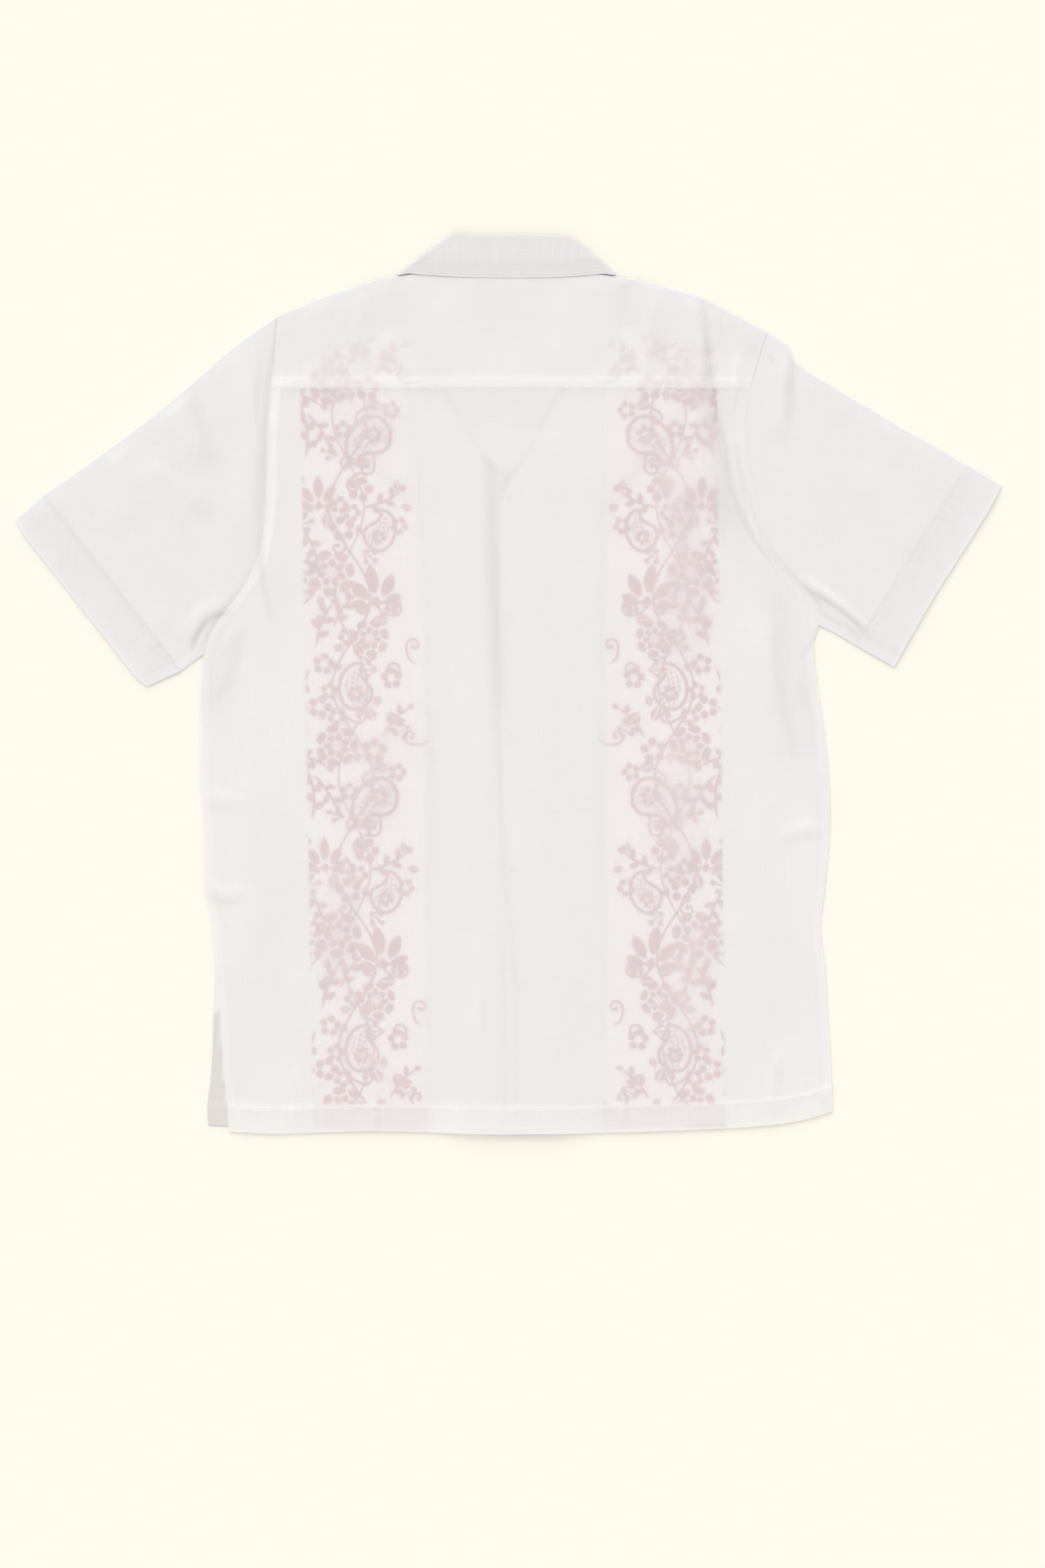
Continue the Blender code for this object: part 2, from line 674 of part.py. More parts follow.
def make_band(side, material):
    out = -1.0 if side == "left" else 1.0
    table = LEFT_CENTRE if side == "left" else RIGHT_CENTRE
    inner_edge = [band_inner_at(side, row[0]) for row in table]
    outer_edge = [band_outer_at(side, row[0]) for row in table]
    outer_top = shoulder_at(side, BAND_OUTER[side][1][0])
    climb = outer_top[1] - outer_edge[0][1]
    span = inner_edge[-1][1] - inner_edge[0][1]
    outer_edge = [band_outer_at(side, outer_edge[0][1] + (py - inner_edge[0][1]) * climb / span)
                  for _, py in inner_edge]
    inner_edge = [(px + out * GAP / 2, py) for px, py in inner_edge]
    outer_edge = [(px - out * GAP / 2, py) for px, py in outer_edge]
    inner_edge[0] = hem_at(side, inner_edge[0][0])
    outer_edge[0] = hem_at(side, outer_edge[0][0])
    inner_edge[-1] = shoulder_at(side, inner_edge[-1][0])
    outer_edge[-1] = shoulder_at(side, outer_edge[-1][0])
    grid = fill(outer_edge, inner_edge, None, None, even(6))
    return flat_wall("lace_band_" + side, side, grid, CLOTH, material)


def make_centre(side, material):
    """Centre front: from the band seam to the front edge, then over the roll line to the revers."""
    out = -1.0 if side == "left" else 1.0
    table = LEFT_CENTRE if side == "left" else RIGHT_CENTRE
    revers_cells = 4
    upper_rows = []
    lower_rows = []
    has_revers = []
    for k, (seam_y, edge_x, edge_y, revers) in enumerate(table):
        sx, sy = band_inner_at(side, seam_y)
        seam = (sx - out * GAP / 2, sy)
        edge = (edge_x, edge_y)
        if k == 0:
            seam = hem_at(side, seam[0])
        if k == len(table) - 1:
            seam = shoulder_at(side, seam[0])
            edge = shoulder_at(side, edge_x)
        outward = unit(seam, edge)
        top = front_under(side, *edge) + DOUBLE
        radius = top / 2
        turned = (edge[0] - outward[0] * radius, edge[1] - outward[1] * radius) if revers else edge
        upper = []
        lower = []
        for share in CENTRE_SHARES:
            x, y = mix(seam, turned, share)
            z = top - DOUBLE if share == 1.0 else front_under(side, x, y)
            lower.append((x, y, z))
            upper.append((x, y, z + DOUBLE))
        if revers:
            middle = (turned[0], turned[1], radius)
            upper += half_turn(middle, outward, radius, TURN)
            lower += half_turn(middle, outward, (top - DOUBLE - CLOTH) / 2, TURN)
            for share in even(revers_cells):
                x, y = mix(turned, revers, share)
                upper.append((x, y, 0.0))
                lower.append((x, y, CLOTH))
        upper_rows.append(upper)
        lower_rows.append(lower)
        has_revers.append(revers is not None)
    longest = max(len(row) for row in upper_rows)
    for rows in (upper_rows, lower_rows):
        for row in rows:
            row += [row[-1]] * (longest - len(row))
    panel_cells = len(CENTRE_SHARES) - 1
    present = []
    for j in range(len(table) - 1):
        turned_row = has_revers[j] and has_revers[j + 1]
        present.append([i < panel_cells or turned_row for i in range(longest - 1)])
    return closed_wall("front_centre_" + side, upper_rows, lower_rows, material, present)


# Sleeves

def make_sleeve(side, material):
    """A flat tube, in rings from the armhole to the cuff, with a turned hem."""
    armhole = list(reversed(armhole_line(side, GAP)))
    count = len(armhole)
    rows = even(SLEEVE_ROWS)
    top_line = along([armhole[0]] + SLEEVE_TOP[side], rows)
    under_line = along([armhole[-1]] + SLEEVE_UNDER[side], rows)
    spacing = [0.0]
    for a, b in zip(armhole, armhole[1:]):
        spacing.append(spacing[-1] + math.dist(a, b))
    spacing = [s / spacing[-1] for s in spacing]
    hem = along([SLEEVE_TOP[side][-1], SLEEVE_UNDER[side][-1]], spacing)
    cuff = along(CUFF[side], spacing)
    grid = []
    for j, (a, b) in enumerate(zip(top_line, under_line)):
        up = j / SLEEVE_ROWS
        row = []
        for i, share in enumerate(spacing):
            low = mix(armhole[0], armhole[-1], share)
            point = mix(a, b, share)
            bend = tuple(p - q for p, q in zip(armhole[i], low))
            row.append(tuple(p + d * (1.0 - up) ** CAP_POWER for p, d in zip(point, bend)))
        grid.append(row)
    grid[-1] = hem
    width = math.dist(hem[0], cuff[0])
    for share in (STEP_RUN / width, 0.35, 0.7, 1.0):
        grid.append([mix(a, b, share) for a, b in zip(hem, cuff)])
    outer = []
    inner = []
    for j, row in enumerate(grid):
        step = HEM_STEP if j > SLEEVE_ROWS else 0.0
        ends = []
        for edge, beside in ((row[0], row[1]), (row[-1], row[-2])):
            radius = (back_under(*edge, 0.0) + CLOTH + step) / 2
            outward = unit(beside, edge)
            centre = (edge[0] - outward[0] * radius, edge[1] - outward[1] * radius)
            ends.append((centre, outward, radius))
        plan = [ends[0][0]] + row[1:-1] + [ends[1][0]]
        along_seam = ease(SEAM_CALM + j / SEAM_CALM_ROWS)
        tops = []
        for i, (x, y) in enumerate(plan):
            edge_run = min(math.dist((x, y), plan[0]), math.dist((x, y), plan[-1]))
            if i in (0, count - 1):
                tops.append(2 * ends[0 if i == 0 else 1][2])
            else:
                tops.append(back_under(x, y, ease(edge_run / FOLD_EDGE) * along_seam) + CLOTH + step)
        upper = [(x, y, z) for (x, y), z in zip(plan, tops)]
        lower = [(x, y, z - CLOTH - step) for x, y, z in upper]
        centre, outward, radius = ends[1]
        upper += half_turn((*centre, radius), outward, radius, TURN)
        lower += half_turn((*centre, radius), outward, radius - CLOTH, TURN)
        upper += [(x, y, 0.0) for x, y in reversed(plan)]
        lower += [(x, y, CLOTH) for x, y in reversed(plan)]
        centre, outward, radius = ends[0]
        upper += reversed(half_turn((*centre, radius), outward, radius, TURN))
        lower += reversed(half_turn((*centre, radius), outward, radius - CLOTH, TURN))
        outer.append(upper)
        inner.append(lower)
    return closed_wall("sleeve_" + side, outer, inner, material, ring=True)


# Camp collar

def collar_columns():
    """Profiles round the collar, from the left leaf's point to the right: roll, edge, seam, turn, outward pair."""
    columns = []
    back = even(COLLAR_BACK_CELLS)
    rolls = along(COLLAR_ROLL, back)
    edges = along(COLLAR_EDGE, back)
    seams = along(BACK_NECK, back)
    seams = [(x, y + GAP) for x, y in seams]
    for side, k in (("left", 0), ("right", COLLAR_BACK_CELLS)):
        out = -1.0 if side == "left" else 1.0
        leaf = []
        for roll_x, roll_y, edge_x, edge_y, seam_x, seam_y in COLLAR_LEAF[side]:
            seam = (seam_x - out * GAP, seam_y + GAP)
            leaf.append(((roll_x, roll_y), (edge_x, edge_y), seam, math.pi, (0.0, 0.0), (0.0, 0.0)))
        fx, fy = unit(rolls[k], edges[k])
        sx, sy = unit(rolls[k], seams[k])
        fall_out = (fy, -fx) if side == "left" else (-fy, fx)
        stand_out = (sy, -sx) if side == "left" else (-sy, sx)
        roll = (rolls[k][0] - fall_out[0] * FALL_OUT, rolls[k][1] - fall_out[1] * FALL_OUT)
        edge = (edges[k][0] - fall_out[0] * FALL_OUT, edges[k][1] - fall_out[1] * FALL_OUT)
        seam = (seams[k][0] - stand_out[0] * STAND_IN, seams[k][1] - stand_out[1] * STAND_IN)
        turn = [(roll, edge, seam, angle, fall_out, stand_out)
                for angle in (math.pi, *reversed(TURN), 0.0)]
        if side == "left":
            columns += list(reversed(leaf)) + turn
            for i in range(1, COLLAR_BACK_CELLS):
                columns.append((rolls[i], edges[i], seams[i], 0.0, (0.0, 0.0), (0.0, 0.0)))
        else:
            columns += list(reversed(turn)) + leaf
    return columns


def make_collar(material):
    fall_cells = 4
    stand_cells = 3
    turn_radius = (FALL_OUT - STAND_OUT) / 2
    middle = (FALL_OUT + STAND_OUT) / 2
    inner_radius = (FALL_IN - STAND_IN) / 2
    outer = []
    inner = []
    for roll, edge, seam, angle, fall_out, stand_out in collar_columns():
        away = unit(edge, roll)
        centre = (roll[0] - away[0] * turn_radius, roll[1] - away[1] * turn_radius)

        def place(plan, depth, side_way):
            sideways = depth * math.sin(angle)
            return (plan[0] + sideways * side_way[0], plan[1] + sideways * side_way[1],
                    COLLAR_AXIS + depth * math.cos(angle))

        upper = []
        lower = []
        for share in even(fall_cells):
            plan = mix(edge, centre, share)
            upper.append(place(plan, FALL_OUT, fall_out))
            lower.append(place(plan, FALL_IN, fall_out))
        for a in TURN:
            blend = a / math.pi
            side_way = mix(fall_out, stand_out, blend)
            reach = math.sin(a)
            for points, radius in ((upper, turn_radius), (lower, inner_radius)):
                plan = (centre[0] + away[0] * radius * reach, centre[1] + away[1] * radius * reach)
                points.append(place(plan, middle + radius * math.cos(a), side_way))
        for share in even(stand_cells):
            plan = mix(centre, seam, share)
            upper.append(place(plan, STAND_OUT, stand_out))
            lower.append(place(plan, STAND_IN, stand_out))
        outer.append(upper)
        inner.append(lower)
    return closed_wall("collar", outer, inner, material)


# Buttons and label

def make_button(number, place, material):
    """A turned button with a dished face, which rests on the surface with its face down."""
    profile = [
        (0.0, BUTTON_HEIGHT),
        (BUTTON_RADIUS - BUTTON_BACK[0], BUTTON_HEIGHT),
        (BUTTON_RADIUS, BUTTON_HEIGHT - BUTTON_BACK[1]),
        (BUTTON_RADIUS - BUTTON_RIM_DRAFT, 0.0),
        (BUTTON_RADIUS - BUTTON_RIM, 0.0),
        (BUTTON_RADIUS - BUTTON_RIM - BUTTON_DISH_SLOPE, BUTTON_DISH),
        (0.0, BUTTON_DISH),
    ]
    shape = bmesh.new()
    rings = []
    for radius, z in profile:
        if radius == 0.0:
            rings.append([shape.verts.new(to_world((place[0], place[1], z)))])
            continue
        ring = []
        for k in range(BUTTON_SIDES):
            a = 2 * math.pi * k / BUTTON_SIDES
            ring.append(shape.verts.new(to_world((place[0] + radius * math.cos(a),
                                                  place[1] + radius * math.sin(a), z))))
        rings.append(ring)
    for a, b in zip(rings, rings[1:]):
        for k in range(BUTTON_SIDES):
            n = (k + 1) % BUTTON_SIDES
            if len(a) == 1:
                shape.faces.new([a[0], b[k], b[n]])
            elif len(b) == 1:
                shape.faces.new([a[k], b[0], a[n]])
            else:
                shape.faces.new([a[k], b[k], b[n], a[n]])
    bmesh.ops.recalc_face_normals(shape, faces=shape.faces)
    mesh = bpy.data.meshes.new(f"button_{number}")
    shape.to_mesh(mesh)
    shape.free()
    mesh.shade_smooth()
    mesh.set_sharp_from_angle(angle=math.radians(40))
    mesh.materials.append(material)
    piece = bpy.data.objects.new(f"button_{number}", mesh)
    bpy.context.scene.collection.objects.link(piece)


def make_label(material):
    """Blank label under the yoke at the neck, with a rounded lower end."""
    rows = []
    for up in even(LABEL_ROWS):
        y = LABEL_LOW + (LABEL_HIGH - LABEL_LOW) * up
        round_in = LABEL_ROUND * (1.0 - ease(up / LABEL_ROUND_SHARE))
        middle = ((LABEL_LEFT + LABEL_RIGHT) / 2, y - round_in * LABEL_BOW)
        rows.append([(LABEL_LEFT + round_in, y), middle, (LABEL_RIGHT - round_in, y)])
    upper = [[(x, y, back_rest(x, y) - GAP) for x, y in row] for row in rows]
    lower = [[(x, y, z - CLOTH) for x, y, z in row] for row in upper]
    closed_wall("neck_label", upper, lower, material)


def main():
    for item in list(bpy.data.objects):
        bpy.data.objects.remove(item, do_unlink=True)
    white = cloth_material("white_cotton", WHITE, 0.85)
    make_back(white)
    make_yoke(white)
    for side in ("left", "right"):
        make_side_front(side, white)
        make_band(side, cloth_material("embroidered_band_" + side, ROSE, 0.8))
        make_centre(side, white)
        make_sleeve(side, white)
    make_collar(cloth_material("collar_cotton", COLLAR_WHITE, 0.85))
    shell = cloth_material("button_shell", SHELL, 0.3)
    for number, place in enumerate(BUTTON_PLACES, start=1):
        make_button(number, place, shell)
    make_label(cloth_material("label_cotton", LABEL, 0.8))


main()
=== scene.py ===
# Looks of a short-sleeved camp-collar shirt of sheer white cotton, laid flat with its back up.
# Tables are in millimetres, from the middle of the chest, with the wearer's left at negative x.
# The fronts lie face down on the surface at z = 0 and the back lies on them.

import math
import random

import bmesh
import bpy
import numpy as np
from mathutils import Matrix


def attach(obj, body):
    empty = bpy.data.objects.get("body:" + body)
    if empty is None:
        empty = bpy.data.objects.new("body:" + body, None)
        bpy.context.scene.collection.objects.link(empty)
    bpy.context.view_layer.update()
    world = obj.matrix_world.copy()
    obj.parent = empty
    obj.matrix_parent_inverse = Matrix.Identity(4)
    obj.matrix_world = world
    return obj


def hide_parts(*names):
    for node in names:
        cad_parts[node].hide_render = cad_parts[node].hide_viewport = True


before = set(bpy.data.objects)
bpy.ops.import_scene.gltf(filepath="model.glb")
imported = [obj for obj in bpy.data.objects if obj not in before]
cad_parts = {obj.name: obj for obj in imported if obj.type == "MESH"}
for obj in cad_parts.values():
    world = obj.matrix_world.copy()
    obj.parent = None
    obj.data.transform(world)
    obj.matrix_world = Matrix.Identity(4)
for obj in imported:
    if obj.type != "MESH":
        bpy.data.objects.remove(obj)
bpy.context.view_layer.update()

MM = 0.001
SHIFT_Y = 0.95              # centres the shirt on its box

# Cloth
SHEET = 0.45                # one visible layer
FACED = 0.7                 # centre fronts with their turned facing
COLLAR_PLY = 0.6
GAP = 0.3
FRONT_RISE = 0.25           # the fronts lie this far up in their solids' walls
BACK_DROP = 0.25            # and the upper layer this far below its own
HEM_STEP = 0.4
FRONT_HEM_STEP = 0.25
ALLOWANCE_STEP = 0.08       # a seam allowance underneath lifts the cloth this much
YOKE_SEAM_RISE = 0.12       # the yoke's lower edge stands over the back
YOKE_ALLOWANCE_COVER = 0.15
YOKE_ALLOWANCE_CLEAR = 0.25     # share of a crease's shade that the doubled strip hides
YOKE_UNDER_SHADE = 0.5      # tone of the part that is wrapped to the fronts
YOKE_SEAM_WIDTH = (0.0, 1.4, 5.0, 9.6, 10.3)    # rows of points over the yoke's seam allowance
SEAM_WIDTH = (0.0, 1.2, 4.8, 8.6, 9.3)          # columns of points over the back's
SEAM_SLACK = 0.2            # columns this little past an allowance still count as on it
SEAM_DROP = 0.25            # the upper layer comes down towards its side seams
SEAM = 0.04                 # visible gap at a seam
FLAT_REST = 1.3             # underside of the upper layer's wall over the flat fronts
FACED_REST = {"lift": 0.2, "half": 100.0, "fade": 30.0}     # and its rise over the faced centre fronts
CENTRE_SINK = 0.1           # the centre fronts lie this much lower in their walls
CENTRE_BEND = 6             # power of the share at which they come down to the roll line
BARE_FADE = 1.5             # width over which the painted shade of the left front's bare strip below the vent starts

# Cells of cloth
CELL = 3.5                  # size of a cell
HEM_CELLS = {"back": 7, "front": 6}
SIDE_CELLS = 22             # across a side front
BAND_CELLS = 26
CENTRE_CELLS = 30
UNDER_CELLS = 14            # across what is folded to the underside
YOKE_CELLS = 25             # up the yoke, past its seam allowance
SHOULDER_CELLS = 40
NECK_CELLS = 44

# Buttons, face down
BUTTON_PLACES = [(0.3, 157.5), (0.9, 54.6), (2.8, -50.2), (2.8, -160.0), (8.4, -261.6)]
BUTTON_HEIGHT = 1.8
# Half section from the middle of the back round to the middle of the dish: radius, height
BUTTON_SECTION = [
    (0.0, BUTTON_HEIGHT),
    (4.3, BUTTON_HEIGHT),
    (5.0, 1.62),
    (5.4, 1.25),
    (5.5, 0.8),
    (5.4, 0.3),
    (5.1, 0.06),
    (4.75, 0.0),
    (4.4, 0.08),
    (4.0, 0.4),
    (3.3, 0.52),
    (0.0, 0.55),
]
BUTTON_SIDES = 48
BUTTON_SHARP = 35.0         # edges over this many degrees stay crisp
BUTTON_TURN = 0.2           # radians by which each is turned further than the one before
HOLES = 4
HOLE = {"radius": 0.75, "sides": 14, "reach": 1.35, "middle": 1.0, "length": 4.0}
# Sewing thread: two bars between the holes, one on the other, and the wound shank
BAR_HALF = 0.75             # half length, as a share of the holes' reach
BAR_PLACE = 0.95
BAR_HEIGHTS = (0.28, 0.4)
BAR_LEAN = 0.7
BAR_RADIUS = 0.24
BAR_SIDES = 6
POST_RADIUS = 1.1
POST_SINK = 0.4             # it starts this far inside the button
POST_TOP = 3.9
POST_SIDES = 10

# Sides of the back, from the hem up to the underarm: left x, left y, right x, right y
BODY_SIDES = [
    (-240.3, -384.7, 277.5, -367.5),
    (-241.0, -362.6, 276.6, -345.6),
    (-241.1, -361.9, 276.5, -344.9),
    (-244.5, -330.0, 275.2, -316.0),
    (-247.4, -282.7, 272.9, -280.0),
    (-251.6, -240.0, 270.6, -242.4),
    (-255.8, -196.0, 266.9, -211.4),
    (-260.7, -180.0, 270.6, -175.0),
    (-260.7, -134.0, 274.4, -134.0),
    (-264.0, -88.0, 274.6, -92.0),
    (-264.4, -41.0, 270.8, -50.0),
    (-264.0, -10.0, 263.2, 5.6),
    (-262.8, 12.0, 261.2, 35.0),
    (-261.3, 24.2, 265.7, 49.0),
]
HEM_ROW = 2                 # the turned hem ends at this row
# The left front shows past the back below the side vent: its own lower rows, x and y
FRONT_VENT_LEFT = [(-257.6, -379.0), (-258.1, -362.6), (-258.1, -361.9), (-254.5, -330.0), (-252.7, -282.7)]
FRONT_TUCK = 0.6

# Armhole seam, from the underarm up to the yoke seam: left x, left y, right x, right y
ARMHOLE = [
    (-261.3, 24.2, 265.7, 49.0),
    (-256.0, 42.0, 265.0, 66.0),
    (-246.0, 58.0, 252.0, 82.0),
    (-234.7, 72.0, 238.0, 98.0),
    (-222.0, 92.0, 223.5, 118.0),
    (-213.6, 116.0, 213.5, 148.0),
    (-209.0, 148.0, 207.0, 184.0),
    (-208.0, 184.0, 202.5, 218.0),
    (-207.2, 222.0, 203.5, 236.0),
    (-203.9, 251.7, 206.0, 251.7),
]
SHOULDER_END = {"left": (-199.3, 313.7), "right": (221.7, 300.7)}
YOKE_SEAM_Y = 251.7

# Shoulder fold, from the armhole to the neck point, and the forward shoulder seam
SHOULDER_FOLD = {
    "left": [(-199.3, 313.7), (-157.8, 331.1), (-113.8, 345.4), (-96.0, 348.2), (-72.0, 351.5)],
    "right": [(221.7, 300.7), (193.1, 315.6), (162.8, 331.1), (115.0, 344.2), (94.0, 347.6), (76.0, 350.5)],
}
FRONT_SEAM = {
    "left": [(-203.0, 264.3), (-86.0, 308.0)],
    "right": [(213.8, 276.0), (88.0, 307.2)],
}
BACK_NECK = [(-72.0, 351.5), (-40.0, 352.4), (0.0, 352.6), (40.0, 352.0), (76.0, 350.5)]
NECK_SPREAD = 6.0
SHOULDER_RUN = 130.0

# Embroidered band: its straight outer seam, hem to shoulder, and its inner seam as y, left x, right x
BAND_OUTER = {"left": ((-167.3, -384.0), (-179.3, 273.2)), "right": ((186.0, -384.0), (178.0, 285.0))}
BAND_INNER = [
    (-384.0, -69.0, 81.0),
    (-190.0, -69.5, 80.5),
    (0.0, -70.0, 80.0),
    (139.0, -75.6, 80.0),
    (200.0, -81.5, 80.8),
    (251.0, -88.0, 84.0),
    (303.2, -98.9, 103.9),
]

# Hem of the back, left to right, and of the fronts
BACK_HEM = [(-240.3, -384.7), (-198.0, -386.2), (-115.0, -384.2), (4.0, -386.6), (160.9, -382.9),
            (239.0, -377.2), (277.5, -367.5)]
FRONT_HEM_Y = -383.0
FRONT_HEM_RIGHT = [(-2.0, -383.0), (81.0, -382.6), (160.0, -379.6), (186.0, -377.6), (238.0, -374.4),
                   (276.9, -366.2)]
FRONT_HEM_WIDTH = 21.5

# Centre fronts, hem to shoulder: y on the band seam, front edge or roll line x and y,
# and for the rows with a turned revers its outer edge x and y
CENTRE = {
    "left": [
        (-383.0, 18.0, -383.2, None),
        (-361.5, 18.0, -361.5, None),
        (-360.8, 18.0, -360.8, None),
        (-300.0, 18.0, -300.0, None),
        (-200.0, 18.0, -200.0, None),
        (-100.0, 18.0, -100.0, None),
        (-20.0, 18.0, -20.0, None),
        (50.0, 18.0, 50.0, None),
        (100.0, 18.0, 104.0, None),
        (132.0, 18.0, 138.0, None),
        (150.0, 18.0, 158.0, None),
        (160.0, 15.0, 168.0, None),
        (168.0, 8.0, 174.0, (-2.0, 170.5)),
        (180.0, -6.0, 184.0, (-27.0, 177.0)),
        (198.0, -20.0, 199.0, (-55.0, 191.0)),
        (220.0, -34.0, 221.0, (-81.0, 211.0)),
        (240.0, -47.0, 245.0, (-99.0, 233.0)),
        (254.0, -56.0, 260.0, (-105.0, 247.0)),
        (264.0, -64.0, 271.0, (-104.0, 255.5)),
        (276.0, -73.0, 281.0, None),
        (289.0, -81.0, 293.0, None),
        (303.2, -86.0, 308.0, None),
    ],
    "right": [
        (-382.6, -2.0, -383.2, None),
        (-361.5, -2.2, -361.5, None),
        (-360.8, -2.2, -360.8, None),
        (-300.0, -2.6, -300.0, None),
        (-200.0, -4.0, -200.0, None),
        (-100.0, -6.0, -100.0, None),
        (-20.0, -8.0, -20.0, None),
        (50.0, -9.2, 50.0, None),
        (100.0, -9.8, 104.0, None),
        (132.0, -10.2, 138.0, None),
        (150.0, -10.0, 154.0, None),
        (160.0, -7.5, 164.0, None),
        (169.0, -3.5, 173.0, None),
        (180.0, 1.5, 181.5, (12.0, 178.5)),
        (192.0, 9.0, 194.0, (34.0, 186.0)),
        (208.0, 18.0, 210.0, (60.0, 199.0)),
        (226.0, 28.0, 229.0, (85.0, 217.0)),
        (244.0, 40.0, 250.0, (104.0, 238.0)),
        (255.0, 51.0, 262.0, (109.0, 249.0)),
        (264.0, 67.0, 271.0, (107.0, 256.0)),
        (276.0, 76.0, 281.0, None),
        (289.0, 83.5, 293.0, None),
        (303.2, 88.0, 307.2, None),
    ],
}

# Camp collar: roll line, outer edge and neck seam across the back, then each leaf, shoulder to
# point: roll x, roll y, edge x, edge y, seam x, seam y
COLLAR_ROLL = [(-50.5, 385.0), (-22.0, 383.6), (6.0, 383.9), (30.0, 383.2), (56.7, 381.9)]
COLLAR_EDGE = [(-96.4, 350.9), (-48.0, 347.6), (-2.2, 346.6), (46.0, 347.4), (92.1, 350.9)]
COLLAR_BACK_CELLS = 18
COLLAR_LEAF = {
    "left": [
        (-57.0, 364.0, -108.0, 333.0, -74.6, 340.7),
        (-64.5, 338.0, -117.0, 314.0, -80.4, 322.7),
        (-67.0, 312.0, -121.0, 296.0, -84.0, 303.2),
        (-62.5, 282.0, -119.0, 272.5, -73.2, 282.3),
    ],
    "right": [
        (62.5, 362.0, 106.0, 333.0, 78.2, 339.7),
        (69.0, 337.0, 118.0, 314.0, 82.9, 322.7),
        (71.5, 312.0, 123.0, 296.0, 86.2, 303.2),
        (66.5, 282.0, 121.5, 272.5, 76.0, 282.3),
    ],
}
COLLAR_AXIS = 2.75
FALL_OUT = 2.75
STAND_OUT = 0.45
FALL_RIM = 0.12             # the turned edge is this much thicker
FALL_DROOP = 1.15           # the fall's outer edge comes down onto the yoke
FALL_BEND = 0.5             # over this share of its width
FALL_EDGE = (0.0, 0.03, 0.075, 0.12, 0.14)      # shares of the fall's width with points, at its edge
FALL_REST = (0.2, 1.0, 12)  # and beyond: first, last and count
FALL_RIM_END = 0.13
FALL_STITCH = 2             # the topstitching runs along this one
STAND_CELLS = 9

# What the collar and the revers cover on the floor side: y, left edge x, right edge x
COLLAR_REACH = [
    (140.0, -20.0, 22.0),
    (172.0, -52.0, 50.0),
    (212.0, -90.0, 88.0),
    (249.0, -107.0, 111.0),
    (262.0, -116.0, 119.0),
    (275.0, -121.0, 124.0),
    (296.0, -122.0, 125.0),
    (316.0, -117.0, 119.0),
    (335.0, -108.0, 106.0),
    (352.0, -96.0, 92.0),
    (385.0, -50.0, 56.0),
]
REACH_MARGIN = 20.0
REACH_FADE = 20.0
COLLAR_LIFT = 1.3
COLLAR_STACK = 3.2
COVER_START_Y = 112.0
COVER_RUN = 64.0

# Rise of each layer over the button stand
STRIP_TOP_Y = 172.0
LEFT_STRIP = {"lift": 2.1, "low": -12.0, "high": 60.0, "fade": 28.0, "above": 28.0, "run": 30.0}
RIGHT_STRIP = {"lift": 3.6, "low": -60.0, "high": 24.0, "fade": 30.0, "above": 40.0, "run": 30.0}
BACK_STRIP = {"lift": 5.1, "low": -24.0, "high": 32.0, "fade": 46.0, "above": 78.0, "run": 70.0}

# Sleeves: the top fold and the underarm fold from armhole to hem line, then the cuff's two ends
SLEEVE_TOP = {
    "left": [(-239.6, 284.6), (-293.0, 238.1), (-355.0, 191.6), (-398.6, 160.8)],
    "right": [(240.5, 287.4), (246.0, 274.5), (278.7, 253.6), (330.2, 222.6), (393.6, 186.3)],
}
SLEEVE_UNDER = {
    "left": [(-270.0, 18.4), (-281.3, 9.4)],
    "right": [(279.0, 42.6), (298.0, 31.4)],
}
CUFF = {
    "left": [(-422.5, 140.1), (-416.3, 128.0), (-393.4, 98.6), (-369.2, 67.6), (-344.4, 36.6),
             (-318.4, 4.0), (-309.5, -3.2)],
    "right": [(422.5, 169.3), (416.0, 156.0), (400.2, 129.6), (380.4, 98.6), (361.1, 67.6),
              (343.2, 36.6), (330.0, 13.2)],
}
SLEEVE_ROWS = 72
SLEEVE_HEM = (0.03, 0.12, 0.25, 0.4, 0.55, 0.7, 0.85, 1.0)      # shares across the turned hem with points
UNDER_HEM = 0.5             # share of the hem's step inside the lower layer
CUFF_STITCH = 2             # the cuff's stitches run on this ring of the hem, this far from its ends
ARMHOLE_CELLS = 7           # between each two points of the armhole
ARMHOLE_EASE = 0.2          # how far the folds' ease has come at the armhole
SHOULDER_SHARES = (0.34, 0.67, 1.0)     # points of the armhole beside the yoke
CAP_POWER = 1.5
HEM_GROOVE_WIDTH = 3.4
HEM_GROOVE_SHADE = 0.3
SLEEVE_HEM_SHADE = 0.06
CUFF_PUCKER = 1.5           # the cuffs' puckers are higher and closer by this
UNDER_COVER = 1.0           # the sleeve's lower layer shows nothing of the surface
UNDER_SHADE = 0.38

# Neck opening between the fronts: the first row of each side's roll line, and its low point
OPENING_ROW = {"left": 11, "right": 12}
OPENING_LOW = 172.0
OPENING_FADE = 7.0
OPENING_COVER = 0.55
OPENING_SHADE = 0.35

